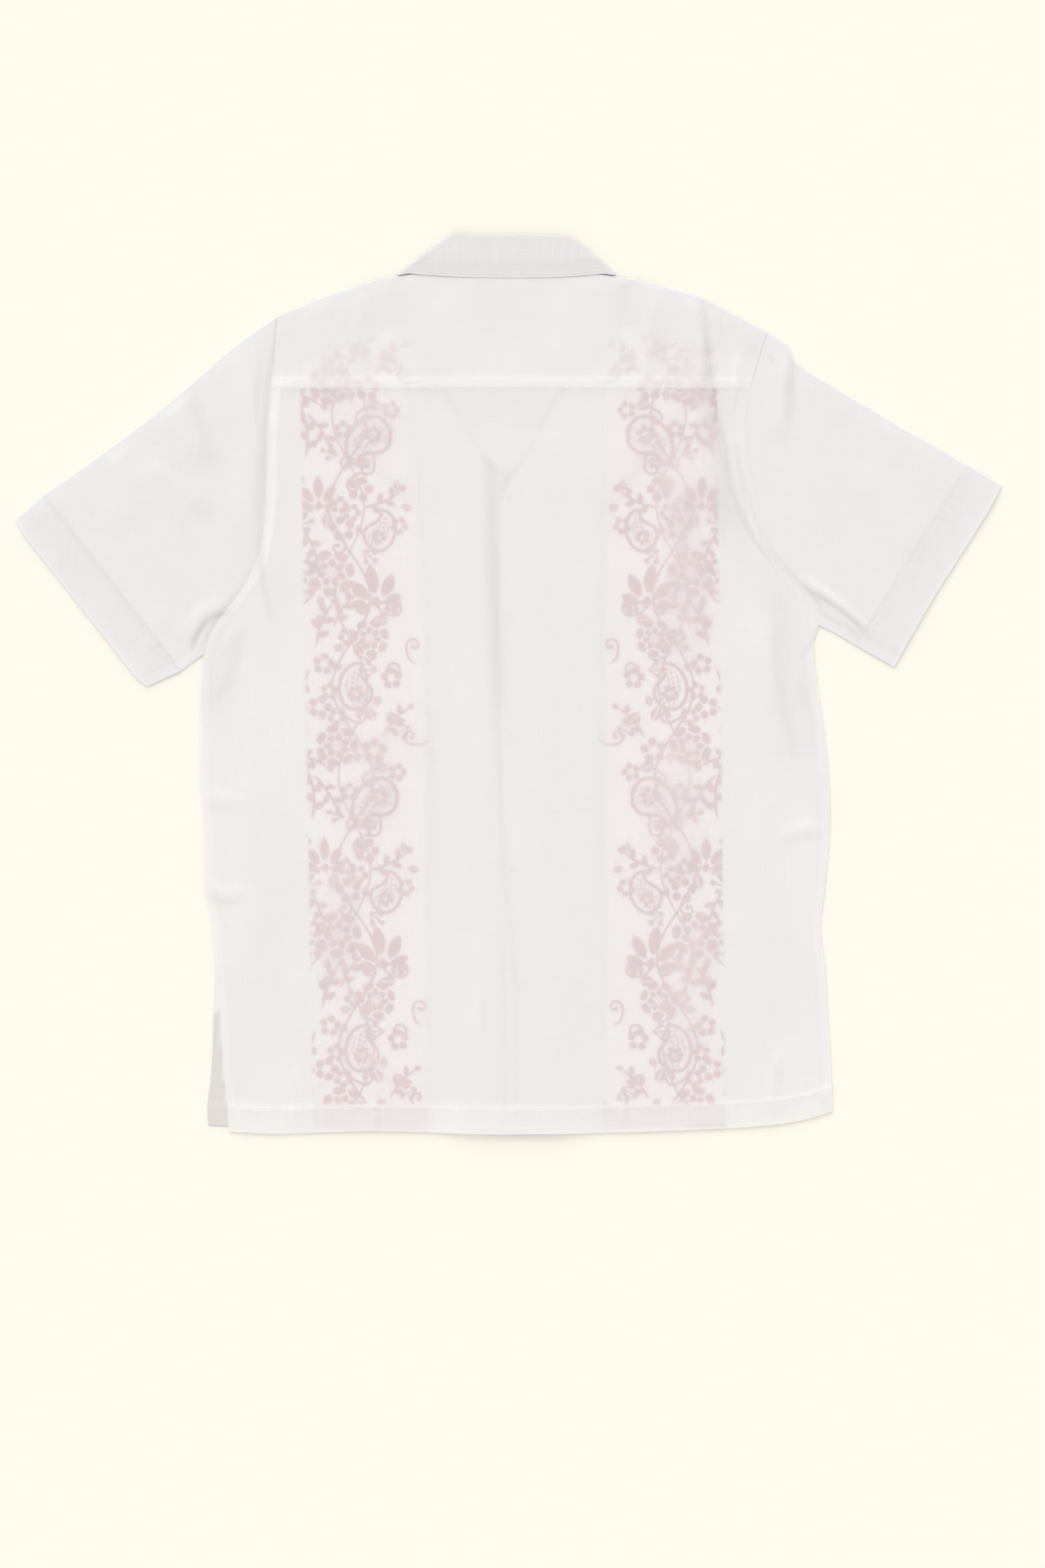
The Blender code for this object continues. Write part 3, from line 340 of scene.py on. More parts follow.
# Folds in the upper layer: reach to the left of the crest's run and to its right, height, crest points
FOLDS = [
    (26.0, 8.0, 3.4, [(157.0, 336.0), (163.0, 292.0), (169.0, 246.0), (178.0, 205.0), (185.0, 163.0),
                      (196.0, 134.0), (208.0, 114.0), (240.0, 80.0)]),
    (6.0, 7.0, 1.8, [(189.0, 222.0), (192.0, 200.0), (201.0, 156.0), (220.0, 111.0), (252.0, 77.0)]),
    (13.0, 9.0, 2.8, [(219.0, 62.0), (226.0, 12.0), (232.0, -38.0), (240.0, -74.0)]),
    (8.0, 16.0, 1.8, [(246.0, 34.0), (249.0, -18.0), (254.0, -64.0)]),
    (8.0, 24.0, 2.4, [(-193.0, 296.0), (-202.0, 240.0), (-201.0, 180.0), (-206.0, 118.0), (-198.0, 66.0),
                      (-190.0, 44.0)]),
    (28.0, 8.0, 2.2, [(-214.0, 300.0), (-220.0, 250.0), (-218.0, 204.0), (-221.0, 158.0), (-226.0, 112.0)]),
    (12.0, 14.0, 2.4, [(-232.0, 58.0), (-240.0, 30.0), (-250.0, -16.0)]),
    (30.0, 34.0, 1.5, [(-62.0, 236.0), (-60.0, 100.0), (-66.0, -30.0), (-60.0, -180.0), (-64.0, -350.0)]),
    (34.0, 30.0, 1.3, [(70.0, 236.0), (72.0, 90.0), (67.0, -90.0), (66.0, -240.0), (74.0, -345.0)]),
    (36.0, 34.0, 3.2, [(148.0, 228.0), (146.0, 170.0), (150.0, 100.0), (146.0, 10.0)]),
    (34.0, 34.0, 2.6, [(140.0, -40.0), (148.0, -110.0), (138.0, -180.0)]),
    (34.0, 30.0, 2.0, [(-118.0, -20.0), (-112.0, -78.0), (-120.0, -130.0)]),
    (28.0, 26.0, 1.4, [(-104.0, 244.0), (-114.0, 206.0)]),
    (28.0, 34.0, 1.6, [(-158.0, -140.0), (-150.0, -214.0), (-156.0, -276.0)]),
    (30.0, 30.0, 2.2, [(160.0, -200.0), (152.0, -262.0), (160.0, -330.0)]),
    (36.0, 34.0, 1.8, [(218.0, -80.0), (214.0, -170.0), (226.0, -300.0)]),
    (34.0, 30.0, 1.6, [(-222.0, -50.0), (-214.0, -150.0), (-226.0, -310.0)]),
    (14.0, 8.0, 1.5, [(-262.0, -174.0), (-244.0, -180.0), (-216.0, -180.0)]),
    (30.0, 12.0, 2.2, [(-288.0, 262.0), (-274.0, 222.0), (-262.0, 184.0)]),
    (26.0, 14.0, 1.8, [(-312.0, 196.0), (-286.0, 166.0), (-258.0, 144.0)]),
    (22.0, 26.0, 1.2, [(-346.0, 212.0), (-330.0, 172.0), (-338.0, 128.0)]),
    (15.0, 8.0, 1.5, [(-238.0, 68.0), (-256.0, 61.0), (-267.0, 51.0), (-277.0, 34.0)]),
    (12.0, 12.0, 0.9, [(-292.0, 70.0), (-303.0, 46.0), (-309.0, 20.0)]),
    (22.0, 10.0, 2.2, [(238.0, 284.0), (234.0, 246.0), (233.0, 204.0)]),
    (7.0, 9.0, 1.6, [(198.0, 290.0), (196.0, 262.0), (194.0, 232.0)]),
    (9.0, 6.0, 1.9, [(250.0, 92.0), (278.0, 72.0), (314.0, 42.0)]),
    (7.0, 8.0, 1.4, [(266.0, 66.0), (286.0, 51.0), (304.0, 34.0)]),
    (30.0, 28.0, 1.4, [(298.0, 196.0), (330.0, 150.0), (350.0, 106.0)]),
    (14.0, 16.0, 1.2, [(-70.0, 10.0), (-66.0, -80.0), (-62.0, -180.0)]),
    (10.0, 12.0, 1.0, [(-30.0, -204.0), (-25.0, -258.0), (-28.0, -310.0)]),
    (9.0, 11.0, 1.2, [(-113.0, -384.0), (-110.0, -352.0), (-114.0, -306.0)]),
    (9.0, 9.0, 0.9, [(96.0, -384.0), (98.0, -356.0), (94.0, -320.0)]),
    (8.0, 10.0, 1.1, [(-186.0, -384.0), (-182.0, -360.0), (-186.0, -326.0)]),
    (12.0, 9.0, 1.1, [(228.0, -376.0), (226.0, -350.0), (232.0, -310.0)]),
    (10.0, 14.0, 1.2, [(-264.0, -92.0), (-240.0, -102.0), (-208.0, -92.0)]),
    (10.0, 12.0, 1.2, [(274.0, -130.0), (250.0, -126.0), (220.0, -140.0)]),
    (12.0, 16.0, 1.4, [(128.0, 334.0), (120.0, 300.0), (126.0, 262.0)]),
    (14.0, 18.0, 1.4, [(-124.0, 336.0), (-128.0, 300.0), (-120.0, 264.0)]),
    (20.0, 22.0, 1.1, [(40.0, 340.0), (48.0, 304.0), (40.0, 260.0)]),
    (20.0, 22.0, 1.0, [(-52.0, 338.0), (-60.0, 300.0), (-50.0, 260.0)]),
]
CREST_CELLS = 14
FOLD_EDGE = 12.0            # folds die out this far from a folded or sewn edge
FOLD_TAPER = 0.3
FOLD_BLUNT = 0.08
LIFT_FULL = 4.6             # cloth this far off what is below it shows it only as a blur

# Painted shade in creases, and over edges below the cloth as a soft dark line: half width, strength, points
CREASES = [
    (24.0, 0.24, [(178.0, 262.0), (180.0, 205.0), (184.0, 160.0), (196.0, 126.0)]),
    (5.0, 0.4, [(164.0, 342.0), (170.0, 290.0), (176.0, 244.0), (185.0, 207.0), (192.0, 163.0),
                (202.0, 136.0), (213.0, 118.0), (232.0, 100.0), (250.0, 80.0), (270.0, 58.0)]),
    (4.0, 0.22, [(195.0, 212.0), (200.0, 176.0), (208.0, 152.0), (216.0, 128.0), (230.0, 106.0),
                 (256.0, 74.0)]),
    (5.0, 0.32, [(-199.0, 300.0), (-207.5, 251.0), (-209.0, 205.0), (-211.0, 159.0), (-213.5, 114.0),
                 (-208.0, 72.0), (-202.0, 46.0)]),
    (5.0, 0.25, [(-239.0, 36.0), (-246.0, 18.0), (-253.0, -4.0)]),
    (24.0, 0.16, [(-246.0, 62.0), (-250.0, 20.0), (-254.0, -36.0)]),
    (26.0, 0.24, [(228.0, 90.0), (236.0, 30.0), (240.0, -40.0)]),
    (4.4, 0.6, [(-273.0, 28.0), (-264.0, 46.0), (-255.0, 55.0), (-236.0, 61.0)]),
    (12.0, 0.15, [(-277.0, 250.0), (-262.0, 216.0), (-252.0, 182.0)]),
    (12.0, 0.12, [(-296.0, 180.0), (-272.0, 158.0), (-250.0, 140.0)]),
    (8.0, 0.2, [(245.0, 282.0), (241.0, 250.0), (239.0, 222.0)]),
    (4.0, 0.45, [(250.0, 84.0), (270.0, 71.0), (290.0, 58.0), (310.0, 37.0)]),
    (3.6, 0.28, [(256.0, 76.0), (284.0, 56.0), (304.0, 33.0)]),
    (10.0, 0.22, [(229.0, 58.0), (236.0, 6.0), (241.0, -34.0), (246.0, -66.0)]),
    (4.0, 0.35, [(268.0, 52.0), (261.0, 36.0), (247.0, 19.0)]),
    (4.0, 0.25, [(-261.0, -181.0), (-248.0, -186.0), (-234.0, -189.0)]),
    (7.0, 0.12, [(-70.5, 4.0), (-66.0, -84.0), (-62.0, -176.0)]),
    (3.6, 0.12, [(-84.0, 248.0), (-75.0, 140.0), (-70.0, 0.0), (-69.0, -200.0), (-68.5, -362.0)]),
    (3.6, 0.12, [(83.0, 248.0), (80.0, 140.0), (80.0, 0.0), (80.5, -200.0), (81.0, -362.0)]),
    (12.0, 0.36, [(-15.0, 250.0), (-15.5, 182.0), (-14.0, 120.0), (-12.0, 60.0), (-8.0, -40.0)]),
    (6.0, 0.15, [(-12.0, 60.0), (-8.0, -60.0), (-2.0, -160.0), (4.0, -240.0), (6.0, -300.0), (7.0, -374.0)]),
    (5.0, 0.16, [(-56.0, 256.0), (-47.0, 245.0), (-34.0, 221.0), (-21.0, 199.0), (-15.0, 184.0)]),
    (6.0, 0.3, [(40.0, 250.0), (28.0, 229.0), (18.0, 210.0), (9.0, 194.0), (0.0, 176.0), (-9.0, 154.0)]),
    (2.6, 0.3, [(66.0, 347.0), (77.0, 340.5), (90.0, 337.5), (102.0, 340.0), (111.0, 346.0)]),
    (3.4, 0.2, [(-113.0, -386.0), (-111.0, -366.0), (-113.0, -344.0)]),
    (3.0, 0.2, [(222.0, 284.0), (225.0, 277.0), (228.0, 270.0)]),
]
CREASE_TAPER = 0.2
CREASE_BLUNT = 0.25
BUTTON_MARK = (5.0, 0.2, 1.6)      # half width, strength and half length of a button's shade

# Columns of the back: from this share of its width to the next one, and how far they stand apart
BACK_COLUMNS = [
    (0.0, 0.12, 1.9),
    (0.12, 0.36, 4.2),
    (0.36, 0.62, 2.5),
    (0.62, 0.895, 4.2),
    (0.895, 1.0, 1.9),
]
BACK_WIDTH = 500.0

# Low uneven waves of cloth at rest: length, direction in degrees, height, phase
WAVES = [
    (83.0, 4.0, 0.34, 0.3),
    (51.0, -14.0, 0.2, 1.9),
    (137.0, 82.0, 0.3, 4.0),
    (37.0, 22.0, 0.11, 2.2),
    (64.0, -41.0, 0.16, 5.1),
]
WAVE_DRIFT = (57.0, 0.9)    # each wave's line wanders over this length by this phase

# Puckers along stitched hems and seams
PUCKER_LENGTH = 15.0
PUCKER_HEIGHT = 0.26
PUCKER_REACH = 15.0
PUCKER_DRIFT = (23.0, 1.6)  # their spacing wanders over this length by this phase
PUCKER_SHIFT = 40.0         # the back's row below the yoke seam is this far on in its run

# Neck label: sides, ends and rounding, the depth of both faces under the yoke, and its cells
LABEL = {"left": -24.5, "right": 15.2, "low": 298.8, "high": 340.4, "round": 8.0, "share": 0.3, "bow": 0.2,
         "top": 0.08, "bottom": 0.42, "rows": 16, "columns": 14}


# Small tools

def ease(share):
    """Smooth step from 0 to 1."""
    share = np.clip(share, 0.0, 1.0)
    return share * share * (3.0 - 2.0 * share)


def plateau(x, low, high, fade):
    """1 between low and high, falling smoothly to 0 over the fade on either side."""
    return ease((x - low + fade) / fade) * ease((high + fade - x) / fade)


def mix(a, b, share):
    return np.asarray(a, dtype=float) * (1.0 - share) + np.asarray(b, dtype=float) * share


def unit(vectors):
    return vectors / np.maximum(np.linalg.norm(vectors, axis=-1, keepdims=True), 1e-9)


def even(cells):
    return np.linspace(0.0, 1.0, cells + 1)


def look_up(table, key, column):
    """Value of a column where the table's first column, which rises, passes the key."""
    return np.interp(key, [row[0] for row in table], [row[column] for row in table])


def smooth_line(points, spans, shares):
    """Points of a smooth line through given points, at shares of the numbered spans between them."""
    points = np.asarray(points, dtype=float)
    steps = np.linalg.norm(np.diff(points, axis=0), axis=-1)
    stops = np.concatenate([np.zeros_like(steps[:1]), np.cumsum(steps, axis=0)])
    order = np.arange(len(points))
    before = np.maximum(order - 1, 0)
    after = np.minimum(order + 1, len(points) - 1)
    reach = np.maximum(stops[after] - stops[before], 1e-9)
    slopes = (points[after] - points[before]) / reach[..., None]
    run = (stops[spans + 1] - stops[spans])[..., None]
    u = shares.reshape(shares.shape + (1,) * (points.ndim - 1))
    start = (1 + 2 * u) * (1 - u) ** 2
    leave = u * (1 - u) ** 2 * run
    end = u * u * (3 - 2 * u)
    arrive = u * u * (u - 1) * run
    return (start * points[spans] + leave * slopes[spans] + end * points[spans + 1]
            + arrive * slopes[spans + 1])


def along(points, shares):
    """Points at shares of the length of a smooth line through the points."""
    points = np.asarray(points, dtype=float)
    stops = np.concatenate([[0.0], np.cumsum(np.linalg.norm(np.diff(points, axis=0), axis=-1))])
    places = np.asarray(shares) * stops[-1]
    spans = np.clip(np.searchsorted(stops, places, side="right") - 1, 0, len(points) - 2)
    return smooth_line(points, spans, (places - stops[spans]) / (stops[spans + 1] - stops[spans]))


def cells_for(points, size=CELL):
    """Cells between each two points of a line, about size long."""
    steps = np.linalg.norm(np.diff(np.asarray(points, dtype=float), axis=0), axis=-1)
    return np.maximum(np.rint(steps / size).astype(int), 1)


def through(points, counts):
    """Points of a smooth line through the points, with a count of cells in each span."""
    spans = np.concatenate([np.repeat(np.arange(len(counts)), counts), [len(counts) - 1]])
    shares = np.concatenate([np.arange(count) / count for count in counts] + [[1.0]])
    return smooth_line(points, spans, shares)


def fill(left, right, low, shares):
    """Plan grid between two sides, a point for each row, that follows a curved lower edge."""
    shares = np.asarray(shares)[None, :, None]
    grid = left[:, None] * (1.0 - shares) + right[:, None] * shares
    if low is not None:
        up = even(len(left) - 1)[:, None, None]
        grid = grid + (low[None] - grid[:1]) * (1.0 - up) ** 3
    return grid


def back_stations():
    """Shares across the back, closer where its folds are narrow, with marks at both seam allowances."""
    edge = np.array(SEAM_WIDTH) / BACK_WIDTH
    inside = [np.linspace(start, end, int((end - start) * BACK_WIDTH / size), endpoint=False)
              for start, end, size in BACK_COLUMNS]
    inside = np.concatenate(inside)
    inside = inside[(inside > edge[-1]) & (inside < 1.0 - edge[-1])]
    return np.concatenate([edge, inside, 1.0 - edge[::-1]])


# Heights of the layers

def collar_cover(x, y, margin):
    """1 where the collar or a revers lies underneath, fading out beyond the margin."""
    left = look_up(COLLAR_REACH, y, 1) - margin
    right = look_up(COLLAR_REACH, y, 2) + margin
    return plateau(x, left, right, REACH_FADE) * ease((y - COVER_START_Y) / COVER_RUN)


def strip_lift(x, y, strip):
    """Rise over the button stand, which ends above the first button."""
    across = plateau(x, strip["low"], strip["high"], strip["fade"])
    return strip["lift"] * across * ease((STRIP_TOP_Y + strip["above"] - y) / strip["run"])


def front_under(side, x, y):
    """Underside of the front layer's wall: on the surface, or over what is folded or sewn below it."""
    strip = LEFT_STRIP if side == "left" else RIGHT_STRIP
    return np.maximum(COLLAR_LIFT * collar_cover(x, y, REACH_MARGIN), strip_lift(x, y, strip))


def back_rest(x, y):
    """Underside of the upper layer where it lies on what is below it, lowered onto the thinner fronts."""
    half = FACED_REST["half"]
    flat = FLAT_REST + FACED_REST["lift"] * plateau(x, -half, half, FACED_REST["fade"])
    over_collar = (COLLAR_STACK - flat) * collar_cover(x, y, REACH_MARGIN + REACH_FADE)
    over_strip = strip_lift(x, y, BACK_STRIP)
    return flat + np.maximum(over_collar, over_strip - flat * (over_strip / BACK_STRIP["lift"])) - BACK_DROP


def neck_opening(x, y):
    """1 between the two roll lines, where only the surface lies below the upper layer."""
    edges = {}
    for side in ("left", "right"):
        roll = [(row[2], row[1]) for row in CENTRE[side][OPENING_ROW[side]:]]
        edges[side] = look_up(roll, y, 1)
    return plateau(x, edges["left"], edges["right"], OPENING_FADE) * ease((y - OPENING_LOW) / OPENING_FADE)


def waves(x, y):
    total = np.zeros_like(x)
    for length, direction, height, phase in WAVES:
        a = math.radians(direction)
        drift = WAVE_DRIFT[1] * np.sin((y * math.cos(a) - x * math.sin(a)) / WAVE_DRIFT[0] + phase)
        turn = 2 * math.pi * (x * math.cos(a) + y * math.sin(a)) / length
        total += height * (0.5 + 0.5 * np.sin(turn + phase + drift))
    return total


def near_line(x, y, points, reach):
    """Which places lie near a smooth line's box, their distance, their side and how far along, 0 to 1."""
    line = along(points, even(CREST_CELLS))
    low = line.min(axis=0) - reach
    high = line.max(axis=0) + reach
    near = (x > low[0]) & (x < high[0]) & (y > low[1]) & (y < high[1])
    px = x[near]
    py = y[near]
    best = np.full(px.shape, np.inf)
    side = np.zeros_like(px)
    place = np.zeros_like(px)
    total = 0.0
    for a, b in zip(line, line[1:]):
        run = math.dist(a, b)
        ux, uy = (b - a) / run
        s = np.clip((px - a[0]) * ux + (py - a[1]) * uy, 0.0, run)
        dx = px - (a[0] + ux * s)
        dy = py - (a[1] + uy * s)
        away = np.hypot(dx, dy)
        closer = away < best
        best = np.where(closer, away, best)
        side = np.where(closer, dx, side)
        place = np.where(closer, total + s, place)
        total += run
    return near, best, side, place / total


def fold_lift(x, y):
    """Height that the folds add, each with a steep and a gentle side."""
    lift = np.zeros_like(x)
    for left_reach, right_reach, height, crest in FOLDS:
        near, away, side, place = near_line(x, y, crest, max(left_reach, right_reach))
        width = np.where(side < 0, left_reach, right_reach)
        ends = ease(np.minimum(place, 1.0 - place) / FOLD_TAPER + FOLD_BLUNT)
        rise = height * ends * (1.0 - ease(away / width))
        lift[near] = np.hypot(lift[near], rise)
    return lift


def crease_shade(x, y):
    """Painted shade of the cloth in its creases, over the edges below it, in the neck opening and over the
    buttons, from 0 to 1.
    """
    shade = OPENING_SHADE * neck_opening(x, y)
    for half_width, strength, line in CREASES:
        near, away, _, place = near_line(x, y, line, half_width)
        ends = ease(np.minimum(place, 1.0 - place) / CREASE_TAPER + CREASE_BLUNT)
        shade[near] = np.maximum(shade[near], strength * ends * (1.0 - ease(away / half_width)))
    half_width, strength, half_length = BUTTON_MARK
    for px, py in BUTTON_PLACES:
        away = np.hypot(x - px, (y - py) / half_length)
        shade = np.maximum(shade, strength * (1.0 - ease(away / half_width)))
    return shade


def upper_layer(x, y, calm=1.0):
    """Underside of the visible upper layer, and how far it stands off, from 0 to 1."""
    off = (waves(x, y) + fold_lift(x, y)) * calm
    return back_rest(x, y) + off, np.clip(off / LIFT_FULL, 0.0, 1.0)


def pucker(run, away):
    """Small uneven gathers beside a row of stitches."""
    turn = 2 * math.pi * run / PUCKER_LENGTH + PUCKER_DRIFT[1] * np.sin(run / PUCKER_DRIFT[0])
    return PUCKER_HEIGHT * (0.5 + 0.5 * np.sin(turn)) * (1.0 - ease(away / PUCKER_REACH))


# Making pieces

def mesh_from(shape, name):
    """A new mesh of a shape that is done with."""
    mesh = bpy.data.meshes.new(name)
    shape.to_mesh(mesh)
    shape.free()
    return mesh


def place_mesh(name, mesh):
    """A new object in the scene for a mesh."""
    placed = bpy.data.objects.new(name, mesh)
    bpy.context.scene.collection.objects.link(placed)
    return placed


def add_piece(name, points, faces, material, values=None, sharp=50.0):
    """A closed mesh from points in millimetres, which rides on the shirt."""
    mesh = bpy.data.meshes.new(name)
    places = np.array(points, dtype=float)
    places[:, 1] += SHIFT_Y
    mesh.from_pydata((places * MM).tolist(), [], faces)
    for key, numbers in (values or {}).items():
        layer = mesh.attributes.new(key, "FLOAT", "POINT")
        layer.data.foreach_set("value", np.asarray(numbers, dtype=np.float32))
    shape = bmesh.new()
    shape.from_mesh(mesh)
    bmesh.ops.recalc_face_normals(shape, faces=shape.faces)
    shape.to_mesh(mesh)
    shape.free()
    mesh.shade_smooth()
    mesh.set_sharp_from_angle(angle=math.radians(sharp))
    mesh.materials.append(material)
    piece = place_mesh(name, mesh)
    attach(piece, "root")
    return piece


def shell(name, outer, inner, material, present=None, ring=False, values=None):
    """One closed thin body between two grids of points; ring joins the last column to the first."""
    rows, columns = outer.shape[:2]
    across = columns if ring else columns - 1
    if present is None:
        present = np.ones((rows - 1, across), dtype=bool)
    ids = np.arange(rows * columns).reshape(rows, columns)
    if ring:
        ids = np.hstack([ids, ids[:, :1]])
    far = rows * columns
    a, b, c, d = ids[:-1, :-1], ids[:-1, 1:], ids[1:, 1:], ids[1:, :-1]
    around = np.pad(present, 1)
    if ring:
        around[1:-1, 0] = present[:, -1]
        around[1:-1, -1] = present[:, 0]
    faces = [np.stack([a, b, c, d], axis=-1)[present], np.stack([d, c, b, a], axis=-1)[present] + far]
    sides = ((a, b, around[:-2, 1:-1]), (b, c, around[1:-1, 2:]),
             (c, d, around[2:, 1:-1]), (d, a, around[1:-1, :-2]))
    for start, end, neighbour in sides:
        rim = present & ~neighbour
        faces.append(np.stack([end[rim], start[rim], start[rim] + far, end[rim] + far], axis=-1))
    used, quads = np.unique(np.vstack(faces), return_inverse=True)
    points = np.vstack([outer.reshape(-1, 3), inner.reshape(-1, 3)])[used]
    chosen = {key: np.tile(numbers.reshape(-1), 2)[used] for key, numbers in (values or {}).items()}
    chosen["inside"] = (used >= far) * 1.0
    return add_piece(name, points, quads.reshape(-1, 4).tolist(), material, chosen)


def layer(plan, z):
    return np.concatenate([plan, np.broadcast_to(z, plan.shape[:-1])[..., None]], axis=-1)


def half_turn(centre, outward, radius, middle, angles):
    """Rows of a half turn about each plan point, top to bottom, upright along its outward direction."""
    rows = []
    for angle in angles:
        plan = centre + outward * (radius * math.sin(angle))[..., None]
        rows.append(layer(plan, middle + radius * math.cos(angle)))
    return rows


# Angles of a half turn, without its two ends
TURN = np.radians([30.0, 60.0, 90.0, 120.0, 150.0])


# Armhole lines

def side_columns(side):
    return (0, 1) if side == "left" else (2, 3)


def armhole_line(side, shift=0.0):
    """Seam points from the underarm to the shoulder; shift moves them away from the body."""
    x, y = side_columns(side)
    points = [(row[x], row[y]) for row in ARMHOLE]
    points += [tuple(mix(points[-1], SHOULDER_END[side], share)) for share in SHOULDER_SHARES]
    away = -shift if side == "left" else shift
    return [(px + away, py) for px, py in points]


# Stitches

STITCH_LENGTH = 2.1
STITCH_PITCH = 2.9
STITCH_RADIUS = 0.2
STITCH_START = 0.6          # the first stitch starts this far along its line
STITCH_SWELL = ((0.0, 0.35), (0.2, 1.0), (0.8, 1.0), (1.0, 0.35))   # share of its length, share of its radius
RAISED = np.array([0.0, 0.0, 0.1])      # stitches lie this far off the cloth


def stitches(lines):
    """Points and faces of short threads laid end to end along lines of points, none below the surface."""
    starts = []
    ends = []
    for line in lines:
        line = np.array(line)
        line[:, 2] = np.maximum(line[:, 2], STITCH_RADIUS)
        stops = np.concatenate([[0.0], np.cumsum(np.linalg.norm(np.diff(line, axis=0), axis=-1))])
        places = np.arange(STITCH_START, stops[-1] - STITCH_LENGTH, STITCH_PITCH)
        for shift, found in ((0.0, starts), (STITCH_LENGTH, ends)):
            found.append(np.stack([np.interp(places + shift, stops, line[:, k]) for k in range(3)], axis=-1))
    starts = np.vstack(starts)
    ends = np.vstack(ends)
    ahead = unit(ends - starts)
    sideways = unit(np.cross(ahead, [0.0, 0.0, 1.0]))
    upward = np.cross(sideways, ahead)
    rings = []
    for share, swell in STITCH_SWELL:
        middle = starts + (ends - starts) * share
        for across, up in ((1, 0), (0, 1), (-1, 0), (0, -1)):
            rings.append(middle + (sideways * across + upward * up) * STITCH_RADIUS * swell)
    points = np.stack(rings, axis=1)
    one = [(0, 1, 2, 3), (15, 14, 13, 12)]
    for k in range(3):
        one += [(4 * k + i, 4 * k + (i + 1) % 4, 4 * k + 4 + (i + 1) % 4, 4 * k + 4 + i) for i in range(4)]
    faces = np.array(one)[None] + 16 * np.arange(len(points))[:, None, None]
    return points.reshape(-1, 3), faces.reshape(-1, 4).tolist()


def lay_stitches(name, lines, material):
    points, faces = stitches(lines)
    return add_piece(name, points, faces, material, sharp=180.0)


# Materials

class Nodes:
    """Short calls for building a material's node tree."""

    def __init__(self, name):
        self.material = bpy.data.materials.new(name)
        self.material.use_nodes = True
        self.tree = self.material.node_tree
        self.shader = self.tree.nodes["Principled BSDF"]
        self.output = self.tree.nodes["Material Output"]

    def add(self, kind, **settings):
        node = self.tree.nodes.new(kind)
        for key, value in settings.items():
            setattr(node, key, value)
        return node

    def join(self, source, target):
        self.tree.links.new(source, target)

    def coordinates(self, scale, turn=0.0):
        place = self.add("ShaderNodeTexCoord")
        mapping = self.add("ShaderNodeMapping")
        mapping.inputs["Scale"].default_value = scale
        mapping.inputs["Rotation"].default_value = (0.0, 0.0, turn)
        self.join(place.outputs["Object"], mapping.inputs["Vector"])
        return mapping.outputs["Vector"]

    def noise(self, scale, detail=2.0, turn=0.0, dimensions="3D"):
        texture = self.add("ShaderNodeTexNoise", noise_dimensions=dimensions)
        texture.inputs["Scale"].default_value = 1.0
        texture.inputs["Detail"].default_value = detail
        self.join(self.coordinates(scale, turn), texture.inputs["Vector"])
        return texture.outputs["Fac"]

    def sum(self, a, b, operation="ADD"):
        node = self.add("ShaderNodeMath", operation=operation)
        for socket, value in zip(node.inputs, (a, b)):
            if isinstance(value, (int, float)):
                socket.default_value = value
            else:
                self.join(value, socket)
        return node.outputs[0]

    def ranged(self, value, low, high, start=0.0, end=1.0):
        node = self.add("ShaderNodeMapRange")
        node.inputs["From Min"].default_value = start
        node.inputs["From Max"].default_value = end
        node.inputs["To Min"].default_value = low
        node.inputs["To Max"].default_value = high
        self.join(value, node.inputs["Value"])
        return node.outputs["Result"]

    def blend(self, factor, dark, light):
        """Colour between dark and light."""
        node = self.add("ShaderNodeMix", data_type="RGBA")
        self.join(factor, node.inputs["Factor"])
        for socket, colour in ((node.inputs[6], dark), (node.inputs[7], light)):
            if isinstance(colour, tuple):
                socket.default_value = (*colour, 1.0)
            else:
                self.join(colour, socket)
        return node.outputs[2]

    def attribute(self, name):
        return self.add("ShaderNodeAttribute", attribute_name=name).outputs["Fac"]

    def bump(self, height, strength, distance):
        node = self.add("ShaderNodeBump")
        node.inputs["Strength"].default_value = strength
        node.inputs["Distance"].default_value = distance
        self.join(height, node.inputs["Height"])
        self.join(node.outputs["Normal"], self.shader.inputs["Normal"])

    def finish(self, colour, numbers):
        """Joins the colour to the shader, and sets the shader's numbers by their names."""
        self.join(colour, self.shader.inputs["Base Color"])
        for name, number in numbers.items():
            self.shader.inputs[name].default_value = number

    def slub(self, turn=0.0):
        """Uneven yarns both ways, as thin long streaks, and the lengthwise ones alone."""
        warp = self.noise((1500.0, 34.0, 1.0), 0.0, turn, "2D")
        weft = self.noise((38.0, 1300.0, 1.0), 0.0, turn, "2D")
        return self.sum(self.sum(warp, weft), 0.5, "MULTIPLY"), warp


LIFTED_SHARP = 0.4          # share of the sharp view that cloth keeps where it stands off
HEM_COVER = 0.18            # how much of its sheerness doubled cloth loses, 1 is all
SLUB_TONE = 0.975
BLUSH_SCALE = (9.0, 6.0, 1.0)
SHADED_TONE = 0.70          # tone in the middle of a full crease
GLOW = (0.985, 0.98, 0.97)


def darker(colour, share):
    return tuple(c * share for c in colour)


def voile(name, colour, turn, shaded, blush=None):
    """Matte cotton with faint slubs, which goes over to its shaded colour in creases."""
    n = Nodes(name)
    slub, warp = n.slub(turn)
    fabric = n.blend(n.ranged(slub, 0.0, 1.0, 0.38, 0.62), darker(colour, SLUB_TONE), colour)
    if blush:
        cloud = n.noise(BLUSH_SCALE, 0.0, turn, "2D")
        fabric = n.blend(n.ranged(cloud, 0.0, 1.0, 0.38, 0.62), fabric, blush)
    n.finish(n.blend(n.attribute("shade"), fabric, shaded), {"Roughness": 1.0, "Specular IOR Level": 0.0})
    return n, warp


